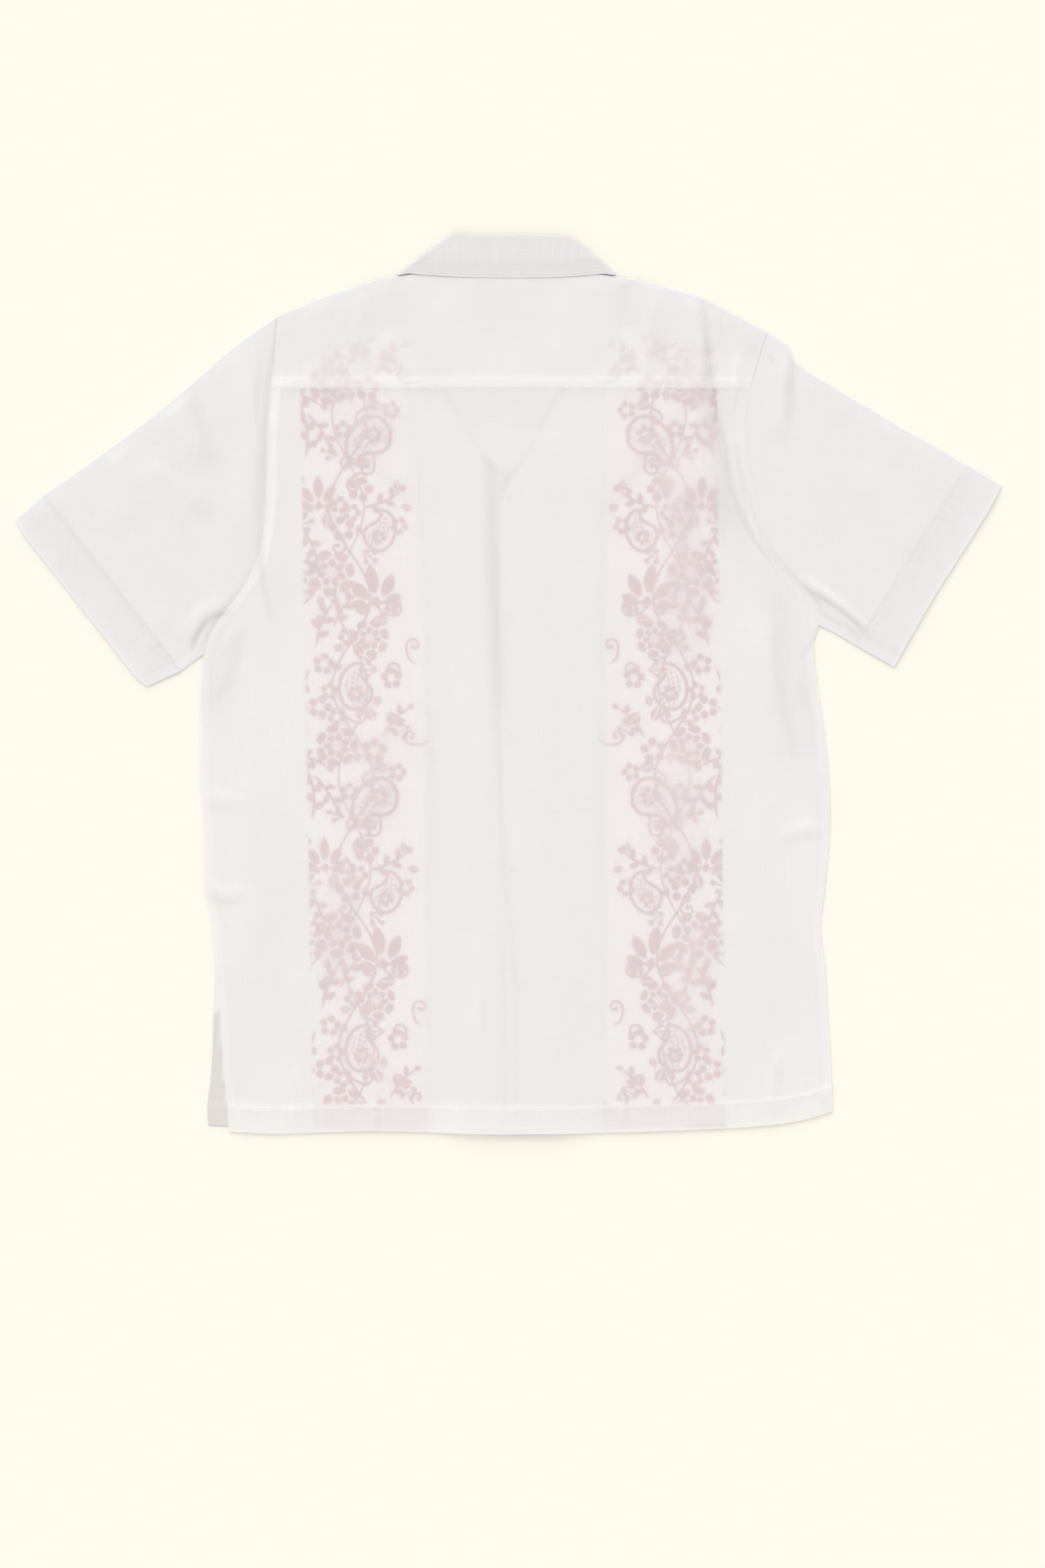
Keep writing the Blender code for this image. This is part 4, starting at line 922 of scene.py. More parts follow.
def sheer_cotton(name, colour, see_through, sharp, turn=0.0):
    """Cotton voile: what lies right under it shows through, and what is further off is a blur."""
    n, _ = voile(name, colour, turn, darker(colour, SHADED_TONE))
    lift = n.attribute("lift")
    cover = n.attribute("cover")
    inside = n.attribute("inside")
    through = n.add("ShaderNodeBsdfTranslucent")
    through.inputs["Color"].default_value = (*GLOW, 1.0)
    clear = n.add("ShaderNodeBsdfTransparent")
    beneath = n.add("ShaderNodeMixShader")
    n.join(n.sum(n.ranged(lift, sharp, sharp * LIFTED_SHARP), inside, "MAXIMUM"), beneath.inputs[0])
    n.join(through.outputs[0], beneath.inputs[1])
    n.join(clear.outputs[0], beneath.inputs[2])
    whole = n.add("ShaderNodeMixShader")
    n.join(n.sum(n.ranged(cover, see_through, 0.0), inside, "MAXIMUM"), whole.inputs[0])
    n.join(n.shader.outputs[0], whole.inputs[1])
    n.join(beneath.outputs[0], whole.inputs[2])
    n.join(whole.outputs[0], n.output.inputs["Surface"])
    return n.material


def close_cotton(name, colour, shaded, blush=None):
    """The fronts' cotton, which nothing shows through; a blush comes and goes in it where one is given."""
    n, warp = voile(name, colour, 0.0, shaded, blush)
    n.bump(warp, strength=0.2, distance=0.0001)
    return n.material


def solid_cotton(name, colour, shade=0.95):
    """Doubled cotton that nothing shows through."""
    n = Nodes(name)
    slub, _ = n.slub()
    n.finish(n.blend(n.ranged(slub, 0.0, 1.0, 0.36, 0.64), darker(colour, shade), colour),
             {"Roughness": 0.88, "Specular IOR Level": 0.2})
    n.bump(slub, strength=0.45, distance=0.0004)
    return n.material


def embroidery_thread(name, colour):
    """Mercerised thread in satin stitch, with painted shade between the stitches and a painted sheen along
    them.
    """
    n = Nodes(name)
    wave = n.add("ShaderNodeTexWave", wave_type="BANDS", bands_direction="DIAGONAL")
    wave.inputs["Scale"].default_value = 1.0
    wave.inputs["Distortion"].default_value = 2.0
    wave.inputs["Detail"].default_value = 0.0
    n.join(n.coordinates((420.0, 420.0, 420.0)), wave.inputs["Vector"])
    patch = n.noise((55.0, 55.0, 1.0), 0.0, dimensions="2D")
    # random mottling of the thread, which is also the painted shade between the stitches
    mottled_and_shaded = n.blend(n.ranged(patch, 0.0, 1.0, 0.35, 0.65), darker(colour, 0.78), colour)
    # painted sheen: a lighter colour along the stitches
    painted_sheen = tuple(min(c * 1.18 + 0.01, 1.0) for c in colour)
    n.finish(n.blend(wave.outputs["Fac"], mottled_and_shaded, painted_sheen), {"Roughness": 0.5, "Sheen Weight": 0.15})
    n.bump(wave.outputs["Fac"], strength=0.5, distance=0.0002)
    return n.material


def plain_thread(name, colour):
    n = Nodes(name)
    twist = n.noise((900.0, 900.0, 900.0), 1.0)
    n.finish(n.blend(twist, darker(colour, 0.9), colour), {"Roughness": 0.7})
    return n.material


def button_shell(name):
    """Pale shell with cloudy growth lines under a polished face."""
    n = Nodes(name)
    cloud = n.noise((160.0, 420.0, 160.0), 3.0, 0.5)
    n.finish(n.blend(n.ranged(cloud, 0.0, 1.0, 0.3, 0.7), SHELL_DARK, SHELL_LIGHT),
             {"Roughness": 0.24, "Coat Weight": 0.4})
    n.bump(cloud, strength=0.1, distance=0.0002)
    return n.material


# Colours of cloth, thread and shell
WHITE = (0.944, 0.940, 0.938)
FRONT_WHITE = (0.775, 0.772, 0.764)
SIDE_WHITE = (0.775, 0.775, 0.770)
SIDE_BLUSH = (0.822, 0.772, 0.750)
# painted shade: the darker colour of the left front's bare strip below the vent, which lies in shade beside
# the back
SHADED_BARE_SIDE = (0.665, 0.632, 0.615)
BAND_WHITE = (0.84, 0.78, 0.758)
BAND_HEM = (0.72, 0.60, 0.605)
COLLAR_WHITE = (0.722, 0.708, 0.703)
ROSE = (0.50, 0.13, 0.18)
PEACH = (0.88, 0.42, 0.35)
THREAD_WHITE = (0.88, 0.87, 0.85)
SHELL_DARK = (0.66, 0.60, 0.53)
SHELL_LIGHT = (0.88, 0.86, 0.82)

# The materials; for sheer cloth the share that it lets through, and how sharply
sheer_back = sheer_cotton("sheer_back", WHITE, 0.46, sharp=0.67)
sheer_sleeve = sheer_cotton("sheer_sleeve", WHITE, 0.33, sharp=0.72, turn=0.66)
sheer_yoke = sheer_cotton("sheer_yoke", WHITE, 0.35, sharp=0.53)
side_cotton = close_cotton("side_cotton", SIDE_WHITE, SHADED_BARE_SIDE, SIDE_BLUSH)
band_ground = close_cotton("band_ground", BAND_WHITE, BAND_HEM)
faced_cotton = close_cotton("faced_cotton", FRONT_WHITE, FRONT_WHITE)
collar_cotton = solid_cotton("collar_cloth", COLLAR_WHITE)
rose_thread = embroidery_thread("rose_thread", ROSE)
white_thread = plain_thread("white_thread", THREAD_WHITE)
shell_pale = button_shell("shell_pale")
label_cloth = solid_cotton("label_cloth", PEACH, shade=0.93)


# Back panel

def make_back():
    x_left, y_left = side_columns("left")
    x_right, y_right = side_columns("right")
    rows = BODY_SIDES + ARMHOLE[1:]
    left = [(row[x_left], row[y_left]) for row in rows]
    right = [(row[x_right], row[y_right]) for row in rows]
    left[-1] = (left[-1][0], YOKE_SEAM_Y - SEAM)
    right[-1] = (right[-1][0], YOKE_SEAM_Y - SEAM)
    counts = cells_for(left)
    counts[0] = HEM_CELLS["back"]
    hem_row = counts[:HEM_ROW - 1].sum()
    left = through(left, counts)
    right = through(right, counts)
    stations = back_stations()
    grid = fill(left, right, along(BACK_HEM, stations), stations)
    x = grid[..., 0]
    y = grid[..., 1]
    width = np.linalg.norm(right - left, axis=-1)[:, None]
    away = np.minimum(stations, 1.0 - stations)[None] * width
    z, lift = upper_layer(x, y, ease(away / FOLD_EDGE))
    hem = np.zeros_like(x)
    hem[:hem_row + 1] = 1.0
    allowance = (away < SEAM_WIDTH[3] + SEAM_SLACK) * 1.0
    cover = np.maximum(HEM_COVER * np.maximum(hem, allowance), OPENING_COVER * neck_opening(x, y))
    z = z - SEAM_DROP * (1.0 - ease(away / SEAM_WIDTH[2]))
    z = z + pucker(x, np.abs(y - grid[hem_row, :, 1])) + pucker(x + PUCKER_SHIFT, YOKE_SEAM_Y - y)
    top = z + SHEET + HEM_STEP * hem + ALLOWANCE_STEP * allowance * (1.0 - hem)
    piece = shell("back_cloth", layer(grid, top), layer(grid, z), sheer_back,
                  values={"lift": lift, "cover": cover, "shade": crease_shade(x, y)})
    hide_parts("back_panel")
    inset = len(SEAM_WIDTH) - 1
    hem_line = layer(grid, top)[hem_row - 1, inset:-inset] + RAISED
    return piece, hem_line


# Yoke

def make_yoke():
    """The yoke from its seam up over both shoulders and down to the forward seams."""
    neck_x = {"left": BACK_NECK[0][0] - NECK_SPREAD, "right": BACK_NECK[-1][0] + NECK_SPREAD}
    groups = {}
    for side in ("left", "right"):
        shares = even(SHOULDER_CELLS)
        folds = along(SHOULDER_FOLD[side], shares)
        fronts = along(FRONT_SEAM[side], shares)
        arm_x = ARMHOLE[-1][side_columns(side)[0]]
        ahead = unit(folds[np.minimum(np.arange(SHOULDER_CELLS + 1) + 1, SHOULDER_CELLS)]
                     - folds[np.maximum(np.arange(SHOULDER_CELLS + 1) - 1, 0)])
        turn = 1.0 if side == "left" else -1.0
        outward = np.stack([-ahead[:, 1], ahead[:, 0]], axis=-1) * turn
        lows = layer(mix(arm_x, neck_x[side], shares)[:, None], YOKE_SEAM_Y)
        calm = ease(shares * SHOULDER_RUN / FOLD_EDGE)
        top = back_rest(folds[:, 0], folds[:, 1]) + SHEET
        under = front_under(side, folds[:, 0], folds[:, 1]) + FRONT_RISE
        radius = (top - under) / 2
        centre = folds - outward * radius[:, None]
        groups[side] = [lows, centre, fronts, outward, calm, radius, (top + under) / 2]
    neck = along(BACK_NECK, even(NECK_CELLS))[1:-1]
    count = len(neck)
    neck_low = layer(mix(neck_x["left"], neck_x["right"], even(NECK_CELLS)[1:-1])[:, None], YOKE_SEAM_Y)
    plain = np.zeros(count)
    middle_group = [neck_low, neck, neck, np.zeros((count, 2)), np.ones(count), plain, plain]
    right_group = [numbers[::-1] for numbers in groups["right"]]
    parts = [np.concatenate(three) for three in zip(groups["left"], middle_group, right_group)]
    lows, centres, fronts, outward, calm_side, radius, middle = parts
    turned = np.zeros(len(lows), dtype=bool)
    turned[:SHOULDER_CELLS + 1] = True
    turned[-SHOULDER_CELLS - 1:] = True

    length = np.linalg.norm(centres - lows, axis=-1)
    allowance = len(YOKE_SEAM_WIDTH) - 1
    places = [mark / length for mark in YOKE_SEAM_WIDTH]
    places += [mix(YOKE_SEAM_WIDTH[-1] / length, 1.0, share) for share in even(YOKE_CELLS)[1:]]
    shares = np.stack(places)
    plan = lows[None] * (1.0 - shares[..., None]) + centres[None] * shares[..., None]
    x = plan[..., 0]
    y = plan[..., 1]
    to_fold = (1.0 - shares) * length
    z, lift = upper_layer(x, y, ease(to_fold / FOLD_EDGE) * calm_side[None])
    z[-1] = back_rest(centres[:, 0], centres[:, 1])
    z[-1, turned] = (middle + radius)[turned] - SHEET
    doubled = np.zeros_like(x)
    doubled[:allowance] = 1.0
    cover = np.maximum(YOKE_ALLOWANCE_COVER * doubled, OPENING_COVER * neck_opening(x, y))
    shade = crease_shade(x, y) * (1.0 - YOKE_ALLOWANCE_CLEAR * doubled)
    z = z + pucker(x, y - YOKE_SEAM_Y) * ease(to_fold / FOLD_EDGE)
    z[:allowance] += YOKE_SEAM_RISE
    z[0] -= YOKE_SEAM_RISE
    top = z + SHEET + ALLOWANCE_STEP * doubled
    outer = list(layer(plan, top))
    inner = list(layer(plan, z))
    outer += half_turn(centres, outward, radius, middle, TURN)
    inner += half_turn(centres, outward, radius - SHEET * turned, middle, TURN)
    half = len(lows) // 2
    for share in even(UNDER_CELLS):
        low_plan = mix(centres, fronts, share)
        under = np.concatenate([
            front_under(side, low_plan[part, 0], low_plan[part, 1])
            for side, part in (("left", slice(None, half)), ("right", slice(half, None)))]) + FRONT_RISE
        if share == 0.0:
            under[turned] = (middle - radius)[turned]
        outer.append(layer(low_plan, under))
        inner.append(layer(low_plan, under + SHEET))
    outer = np.stack(outer)
    inner = np.stack(inner)
    rows = len(x)
    extra = len(outer) - rows
    cells = len(lows) - 1
    present = np.ones((len(outer) - 1, cells), dtype=bool)
    present[rows - 1:, SHOULDER_CELLS:cells - SHOULDER_CELLS] = False
    wrapped = np.zeros((extra, cells + 1))
    wrapped[len(TURN):] = 1.0
    values = {"lift": np.vstack([lift, np.zeros_like(wrapped)]),
              "cover": np.vstack([cover, wrapped]),
              "shade": np.vstack([shade, wrapped * YOKE_UNDER_SHADE])}
    piece = shell("yoke_cloth", outer, inner, sheer_yoke, present, values=values)
    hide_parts("yoke")
    seam_line = outer[1, 1:-1] + RAISED
    return piece, seam_line


# Fronts

def band_outer_at(side, y):
    (x0, y0), (x1, y1) = BAND_OUTER[side]
    return (x0 + (x1 - x0) * (y - y0) / (y1 - y0), y)


def band_inner_at(side, y):
    return (float(look_up(BAND_INNER, y, 1 if side == "left" else 2)), y)


def shoulder_at(side, x):
    """Point of the forward shoulder seam at x, just below the yoke."""
    (x0, y0), (x1, y1) = FRONT_SEAM[side]
    return (x, y0 + (y1 - y0) * (x - x0) / (x1 - x0) - SEAM)


def hem_at(side, x):
    if side == "left":
        return (x, FRONT_HEM_Y)
    return (x, float(look_up(FRONT_HEM_RIGHT, x, 1)))


def outward_of(side):
    return -1.0 if side == "left" else 1.0


def front_piece(name, side, first, second, cells, material):
    """A flat front piece between two seam lines, turned up at the hem."""
    counts = np.maximum(cells_for(first), cells_for(second))
    counts[0] = HEM_CELLS["front"]
    grid = fill(through(first, counts), through(second, counts), None, even(cells))
    x = grid[..., 0]
    y = grid[..., 1]
    z = front_under(side, x, y) + FRONT_RISE
    hem = np.zeros_like(x)
    hem[:counts[:HEM_ROW - 1].sum() + 1] = 1.0
    top = z + SHEET + FRONT_HEM_STEP * hem
    if name.startswith("band"):
        shade = hem
    elif side == "left":
        # the left front's bare strip below the vent gets painted shade
        back_edge = look_up([(row[1], row[0]) for row in BODY_SIDES], y, 1)
        shade = ease((back_edge - x) / BARE_FADE + 0.5) * (y < FRONT_VENT_LEFT[-1][1])
    else:
        shade = np.zeros_like(x)
    return shell(name, layer(grid, top), layer(grid, z), material, values={"shade": shade})


def make_side_front(side):
    out = outward_of(side)
    x, y = side_columns(side)
    edge = [(row[x] - out * FRONT_TUCK, row[y]) for row in BODY_SIDES]
    if side == "left":
        edge[:len(FRONT_VENT_LEFT)] = FRONT_VENT_LEFT
    else:
        edge[0] = FRONT_HEM_RIGHT[-1]
    edge += [(row[x], row[y]) for row in ARMHOLE[1:]]
    edge.append((FRONT_SEAM[side][0][0], FRONT_SEAM[side][0][1] - SEAM))
    seam = [band_outer_at(side, py) for _, py in edge]
    seam[0] = hem_at(side, seam[0][0])
    seam[-1] = shoulder_at(side, band_outer_at(side, FRONT_SEAM[side][0][1])[0])
    seam = [(px + out * SEAM, py) for px, py in seam]
    piece = front_piece("front_side_cloth_" + side, side, edge, seam, SIDE_CELLS, side_cotton)
    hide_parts("front_side_" + side)
    return piece


def make_band(side):
    out = outward_of(side)
    inner = [band_inner_at(side, row[0]) for row in CENTRE[side]]
    top = shoulder_at(side, BAND_OUTER[side][1][0])
    outer = [band_outer_at(side, row[0]) for row in CENTRE[side]]
    climb = (top[1] - outer[0][1]) / (inner[-1][1] - inner[0][1])
    outer = [band_outer_at(side, outer[0][1] + (py - inner[0][1]) * (climb if k > HEM_ROW else 1.0))
             for k, (_, py) in enumerate(inner)]
    inner = [(px + out * SEAM, py) for px, py in inner]
    outer = [(px - out * SEAM, py) for px, py in outer]
    inner[0] = hem_at(side, inner[0][0])
    outer[0] = hem_at(side, outer[0][0])
    inner[-1] = shoulder_at(side, inner[-1][0])
    outer[-1] = shoulder_at(side, outer[-1][0])
    piece = front_piece("band_cloth_" + side, side, outer, inner, BAND_CELLS, band_ground)
    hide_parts("lace_band_" + side)
    return piece


def make_centre(side):
    """Centre front: from the band seam to the front edge, then over the roll line to the revers."""
    out = outward_of(side)
    table = CENTRE[side]
    seams = []
    for seam_y, _, _, _ in table:
        sx, sy = band_inner_at(side, seam_y)
        seams.append((sx - out * SEAM, sy))
    edges = [(edge_x, edge_y) for _, edge_x, edge_y, _ in table]
    seams[0] = hem_at(side, seams[0][0])
    seams[-1] = shoulder_at(side, seams[-1][0])
    edges[-1] = shoulder_at(side, edges[-1][0])
    counts = np.maximum(cells_for(seams), cells_for(edges))
    counts[0] = HEM_CELLS["front"]
    seam = through(seams, counts)
    edge = through(edges, counts)
    marks = np.concatenate([[0], np.cumsum(counts)])
    folded = [k for k, row in enumerate(table) if row[3]]
    first, last = marks[folded[0]], marks[folded[-1]]
    revers = edge.copy()
    revers[first:last + 1] = through([table[k][3] for k in folded], counts[folded[0]:folded[-1]])
    has_revers = np.zeros(len(edge), dtype=bool)
    has_revers[first:last + 1] = True

    outward = unit(edge - seam)
    top = front_under(side, edge[:, 0], edge[:, 1]) + FACED
    radius = top / 2 * has_revers
    turned = edge - outward * radius[:, None]
    outer = []
    inner = []
    rise = FRONT_RISE - CENTRE_SINK
    for share in even(CENTRE_CELLS):
        plan = mix(seam, turned, share)
        z = front_under(side, plan[:, 0], plan[:, 1]) + rise * (1.0 - has_revers * share ** CENTRE_BEND)
        if share == 1.0:
            z = np.where(has_revers, top - FACED, z)
        inner.append(layer(plan, z))
        outer.append(layer(plan, z + FACED))
    outer += half_turn(turned, outward, radius, radius, TURN)
    inner += half_turn(turned, outward, radius - has_revers * (FACED + COLLAR_PLY) / 2,
                       radius - has_revers * (FACED - COLLAR_PLY) / 2, TURN)
    for share in even(UNDER_CELLS):
        plan = mix(turned, revers, share)
        outer.append(layer(plan, 0.0))
        inner.append(layer(plan, COLLAR_PLY))
    outer = np.stack(outer, axis=1)
    inner = np.stack(inner, axis=1)
    rows, columns = outer.shape[:2]
    present = np.ones((rows - 1, columns - 1), dtype=bool)
    both = has_revers[:-1] & has_revers[1:]
    present[:, CENTRE_CELLS:] = both[:, None]
    piece = shell("front_centre_cloth_" + side, outer, inner, faced_cotton, present,
                  values={"shade": np.zeros((rows, columns))})
    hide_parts("front_centre_" + side)
    edge_line = inner[:first, CENTRE_CELLS - 1] - RAISED
    return piece, edge_line


# Sleeves

def make_sleeve(side):
    """A flat tube, in rings from the armhole to the cuff, with a turned hem."""
    seam_points = armhole_line(side, SEAM)[::-1]
    armhole = through(seam_points, [ARMHOLE_CELLS] * (len(seam_points) - 1))
    runs = np.concatenate([[0.0], np.cumsum(np.linalg.norm(np.diff(armhole, axis=0), axis=-1))])
    spacing = runs / runs[-1]
    hem = along([SLEEVE_TOP[side][-1], SLEEVE_UNDER[side][-1]], spacing)
    cuff = along(CUFF[side], spacing)
    rows = even(SLEEVE_ROWS)
    top_line = along([tuple(armhole[0])] + SLEEVE_TOP[side], rows)
    under_line = along([tuple(armhole[-1])] + SLEEVE_UNDER[side], rows)
    bow = armhole - mix(armhole[:1], armhole[-1:], spacing[:, None])
    up = rows[:, None, None]
    grid = top_line[:, None] * (1.0 - spacing[None, :, None]) + under_line[:, None] * spacing[None, :, None]
    grid = grid + bow[None] * (1.0 - up) ** CAP_POWER
    grid[-1] = hem
    grid = np.concatenate([grid, [mix(hem, cuff, share) for share in SLEEVE_HEM]])
    turned_up = np.arange(len(grid)) > SLEEVE_ROWS
    step = HEM_STEP * turned_up

    ends = []
    for first, second in ((0, 1), (-1, -2)):
        edge = grid[:, first]
        outward = unit(edge - grid[:, second])
        radius = (back_rest(edge[:, 0], edge[:, 1]) + SHEET + step) / 2
        ends.append((edge - outward * radius[:, None], outward, radius))
    plan = grid.copy()
    plan[:, 0] = ends[0][0]
    plan[:, -1] = ends[1][0]
    x = plan[..., 0]
    y = plan[..., 1]
    edge_run = np.minimum(np.linalg.norm(plan - plan[:, :1], axis=-1),
                          np.linalg.norm(plan - plan[:, -1:], axis=-1))
    from_seam = np.linalg.norm(plan - plan[:1], axis=-1)
    calm = ease(edge_run / FOLD_EDGE)
    z, lift = upper_layer(x, y, calm * ease(ARMHOLE_EASE + from_seam / FOLD_EDGE))
    z = z - SEAM_DROP * (1.0 - ease(from_seam / SEAM_WIDTH[2]))
    from_hem = np.linalg.norm(plan - plan[SLEEVE_ROWS], axis=-1)
    z = z + CUFF_PUCKER * pucker(runs[None] * CUFF_PUCKER, from_hem) * calm
    tops = z + SHEET + step[:, None]
    tops[:, 0] = 2 * ends[0][2]
    tops[:, -1] = 2 * ends[1][2]
    floor = np.zeros_like(tops)
    outer = [layer(plan, tops)]
    inner = [layer(plan, tops - SHEET - step[:, None])]
    away_under = np.linalg.norm(plan - plan[:, -1:], axis=-1)
    # painted shade in the groove along the hem's stitches
    painted_groove_shade = HEM_GROOVE_SHADE * (1.0 - ease(from_hem / HEM_GROOVE_WIDTH))
    shade = np.maximum(crease_shade(x, y), np.maximum(painted_groove_shade, SLEEVE_HEM_SHADE * turned_up[:, None]))
    cover = HEM_COVER * (away_under < SEAM_WIDTH[3])
    values = {"lift": [lift], "cover": [cover], "shade": [shade]}
    for number, lower_layer in ((1, True), (0, False)):
        centre, outward, radius = ends[number]
        turn_out = half_turn(centre, outward, radius, radius, TURN)
        turn_in = half_turn(centre, outward, radius - SHEET, radius, TURN)
        if number == 0:
            turn_out.reverse()
            turn_in.reverse()
        outer.append(np.stack(turn_out, axis=1))
        inner.append(np.stack(turn_in, axis=1))
        for key in values:
            values[key].append(np.zeros((len(grid), len(TURN))))
        if lower_layer:
            outer.append(layer(plan, floor)[:, ::-1])
            inner.append(layer(plan, floor + SHEET + UNDER_HEM * step[:, None])[:, ::-1])
            values["lift"].append(np.zeros_like(x))
            values["cover"].append(np.full_like(x, UNDER_COVER))
            values["shade"].append(np.full_like(x, UNDER_SHADE))
    outer = np.concatenate(outer, axis=1)
    inner = np.concatenate(inner, axis=1)
    values = {key: np.concatenate(parts, axis=1) for key, parts in values.items()}
    piece = shell("sleeve_cloth_" + side, outer, inner, sheer_sleeve, ring=True,
                  values=values)
    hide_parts("sleeve_" + side)
    cuff_line = outer[SLEEVE_ROWS + CUFF_STITCH, CUFF_STITCH:len(armhole) - CUFF_STITCH] + RAISED
    return piece, cuff_line


# Camp collar

def collar_columns():
    """Key profiles round the collar, from the left leaf's point to the right."""
    columns = []
    back = even(COLLAR_BACK_CELLS)
    rolls = along(COLLAR_ROLL, back)
    edges = along(COLLAR_EDGE, back)
    seams = along(BACK_NECK, back) + np.array([0.0, GAP])
    still = np.zeros(2)
    for side, k in (("left", 0), ("right", COLLAR_BACK_CELLS)):
        out = outward_of(side)
        leaf = [(np.array(row[0:2]), np.array(row[2:4]), np.array([row[4] - out * GAP, row[5] + GAP]),
                 math.pi, still, still) for row in COLLAR_LEAF[side]]
        fall = unit(edges[k] - rolls[k])
        stand = unit(seams[k] - rolls[k])
        way = np.array([1.0, -1.0]) if side == "left" else np.array([-1.0, 1.0])
        fall_out = fall[::-1] * way
        stand_out = stand[::-1] * way
        roll = rolls[k] - fall_out * FALL_OUT
        edge = edges[k] - fall_out * FALL_OUT
        seam = seams[k] - stand_out * (STAND_OUT + COLLAR_PLY)
        angles = [math.pi, *TURN[::-1], 0.0]
        turn = [(roll, edge, seam, angle, fall_out, stand_out) for angle in angles]
        if side == "left":
            columns += leaf[::-1] + turn
            columns += [(rolls[i], edges[i], seams[i], 0.0, still, still)
                        for i in range(1, COLLAR_BACK_CELLS)]
        else:
            columns += turn[::-1] + leaf
    return columns


def make_collar():
    """Fall, half turn and stand of each profile, from the outer edge to the neck seam."""
    fall_shares = np.concatenate([FALL_EDGE, np.linspace(*FALL_REST)])
    turn_radius = (FALL_OUT - STAND_OUT) / 2
    middle = (FALL_OUT + STAND_OUT) / 2
    inner_radius = turn_radius - COLLAR_PLY
    outer = []
    inner = []
    for roll, edge, seam, angle, fall_out, stand_out in collar_columns():
        away = unit(roll - edge)
        centre = roll - away * turn_radius

        def place(plan, depth, side_way):
            plan = plan + depth * math.sin(angle) * side_way
            return [plan[0], plan[1], COLLAR_AXIS + depth * math.cos(angle)]

        upper = []
        lower = []
        for share in fall_shares:
            plan = mix(edge, centre, share)
            rim = 0.0 if share > FALL_RIM_END else FALL_RIM
            droop = FALL_DROOP * (1.0 + math.cos(angle)) / 2 * (1.0 - ease(share / FALL_BEND))
            upper.append(place(plan, FALL_OUT - droop, fall_out))
            lower.append(place(plan, FALL_OUT - droop - COLLAR_PLY - rim, fall_out))
        for a in TURN:
            side_way = mix(fall_out, stand_out, a / math.pi)
            for points, radius in ((upper, turn_radius), (lower, inner_radius)):
                plan = centre + away * radius * math.sin(a)
                points.append(place(plan, middle + radius * math.cos(a), side_way))
        for share in even(STAND_CELLS):
            plan = mix(centre, seam, share)
            upper.append(place(plan, STAND_OUT, stand_out))
            lower.append(place(plan, STAND_OUT + COLLAR_PLY, stand_out))
        outer.append(upper)
        inner.append(lower)
    outer = np.array(outer)
    inner = np.array(inner)
    steps = np.linalg.norm(np.diff(outer, axis=0), axis=-1).max(axis=1)
    counts = np.maximum(np.rint(steps / CELL).astype(int), 1)
    outer = through(outer, counts)
    inner = through(inner, counts)
    piece = shell("collar_cloth_all_round", outer, inner, collar_cotton)
    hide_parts("collar")
    line = outer[:, FALL_STITCH]
    outwards = unit(line - inner[:, FALL_STITCH])
    edge_line = line + outwards * RAISED[2]
    return piece, edge_line


# Buttons, label

def turned_body(profile, sides):
    """A closed round body turned about z from radius and height pairs that start and end on the axis."""
    shape = bmesh.new()
    rings = []
    for radius, z in profile:
        if radius == 0.0:
            rings.append([shape.verts.new((0.0, 0.0, z * MM))])
            continue
        angles = [2 * math.pi * k / sides for k in range(sides)]
        rings.append([shape.verts.new((radius * math.cos(a) * MM, radius * math.sin(a) * MM, z * MM))
                      for a in angles])
    for a, b in zip(rings, rings[1:]):
        for k in range(sides):
            n = (k + 1) % sides
            if len(a) == 1:
                shape.faces.new([a[0], b[k], b[n]])
            elif len(b) == 1:
                shape.faces.new([a[k], b[0], a[n]])
            else:
                shape.faces.new([a[k], b[k], b[n], a[n]])
    bmesh.ops.recalc_face_normals(shape, faces=shape.faces)
    return shape


def button_mesh():
    """A dished four-hole button, face down."""
    blank = place_mesh("button_blank", mesh_from(turned_body(BUTTON_SECTION, BUTTON_SIDES), "button_blank"))
    drills = bmesh.new()
    radius = HOLE["radius"] * MM
    for k in range(HOLES):
        a = math.pi / HOLES + k * 2 * math.pi / HOLES
        made = bmesh.ops.create_cone(drills, cap_ends=True, segments=HOLE["sides"], radius1=radius,
                                     radius2=radius, depth=HOLE["length"] * MM)
        middle = (HOLE["reach"] * math.cos(a) * MM, HOLE["reach"] * math.sin(a) * MM, HOLE["middle"] * MM)
        bmesh.ops.translate(drills, verts=made["verts"], vec=middle)
    drill = place_mesh("button_drills", mesh_from(drills, "button_drills"))
    holes = blank.modifiers.new("holes", "BOOLEAN")
    holes.operation = "DIFFERENCE"
    holes.object = drill
    done = bpy.data.meshes.new_from_object(blank.evaluated_get(bpy.context.evaluated_depsgraph_get()))
    bpy.data.objects.remove(blank, do_unlink=True)
    bpy.data.objects.remove(drill, do_unlink=True)
    done.shade_smooth()
    done.set_sharp_from_angle(angle=math.radians(BUTTON_SHARP))
    done.materials.clear()
    done.materials.append(shell_pale)
    return done


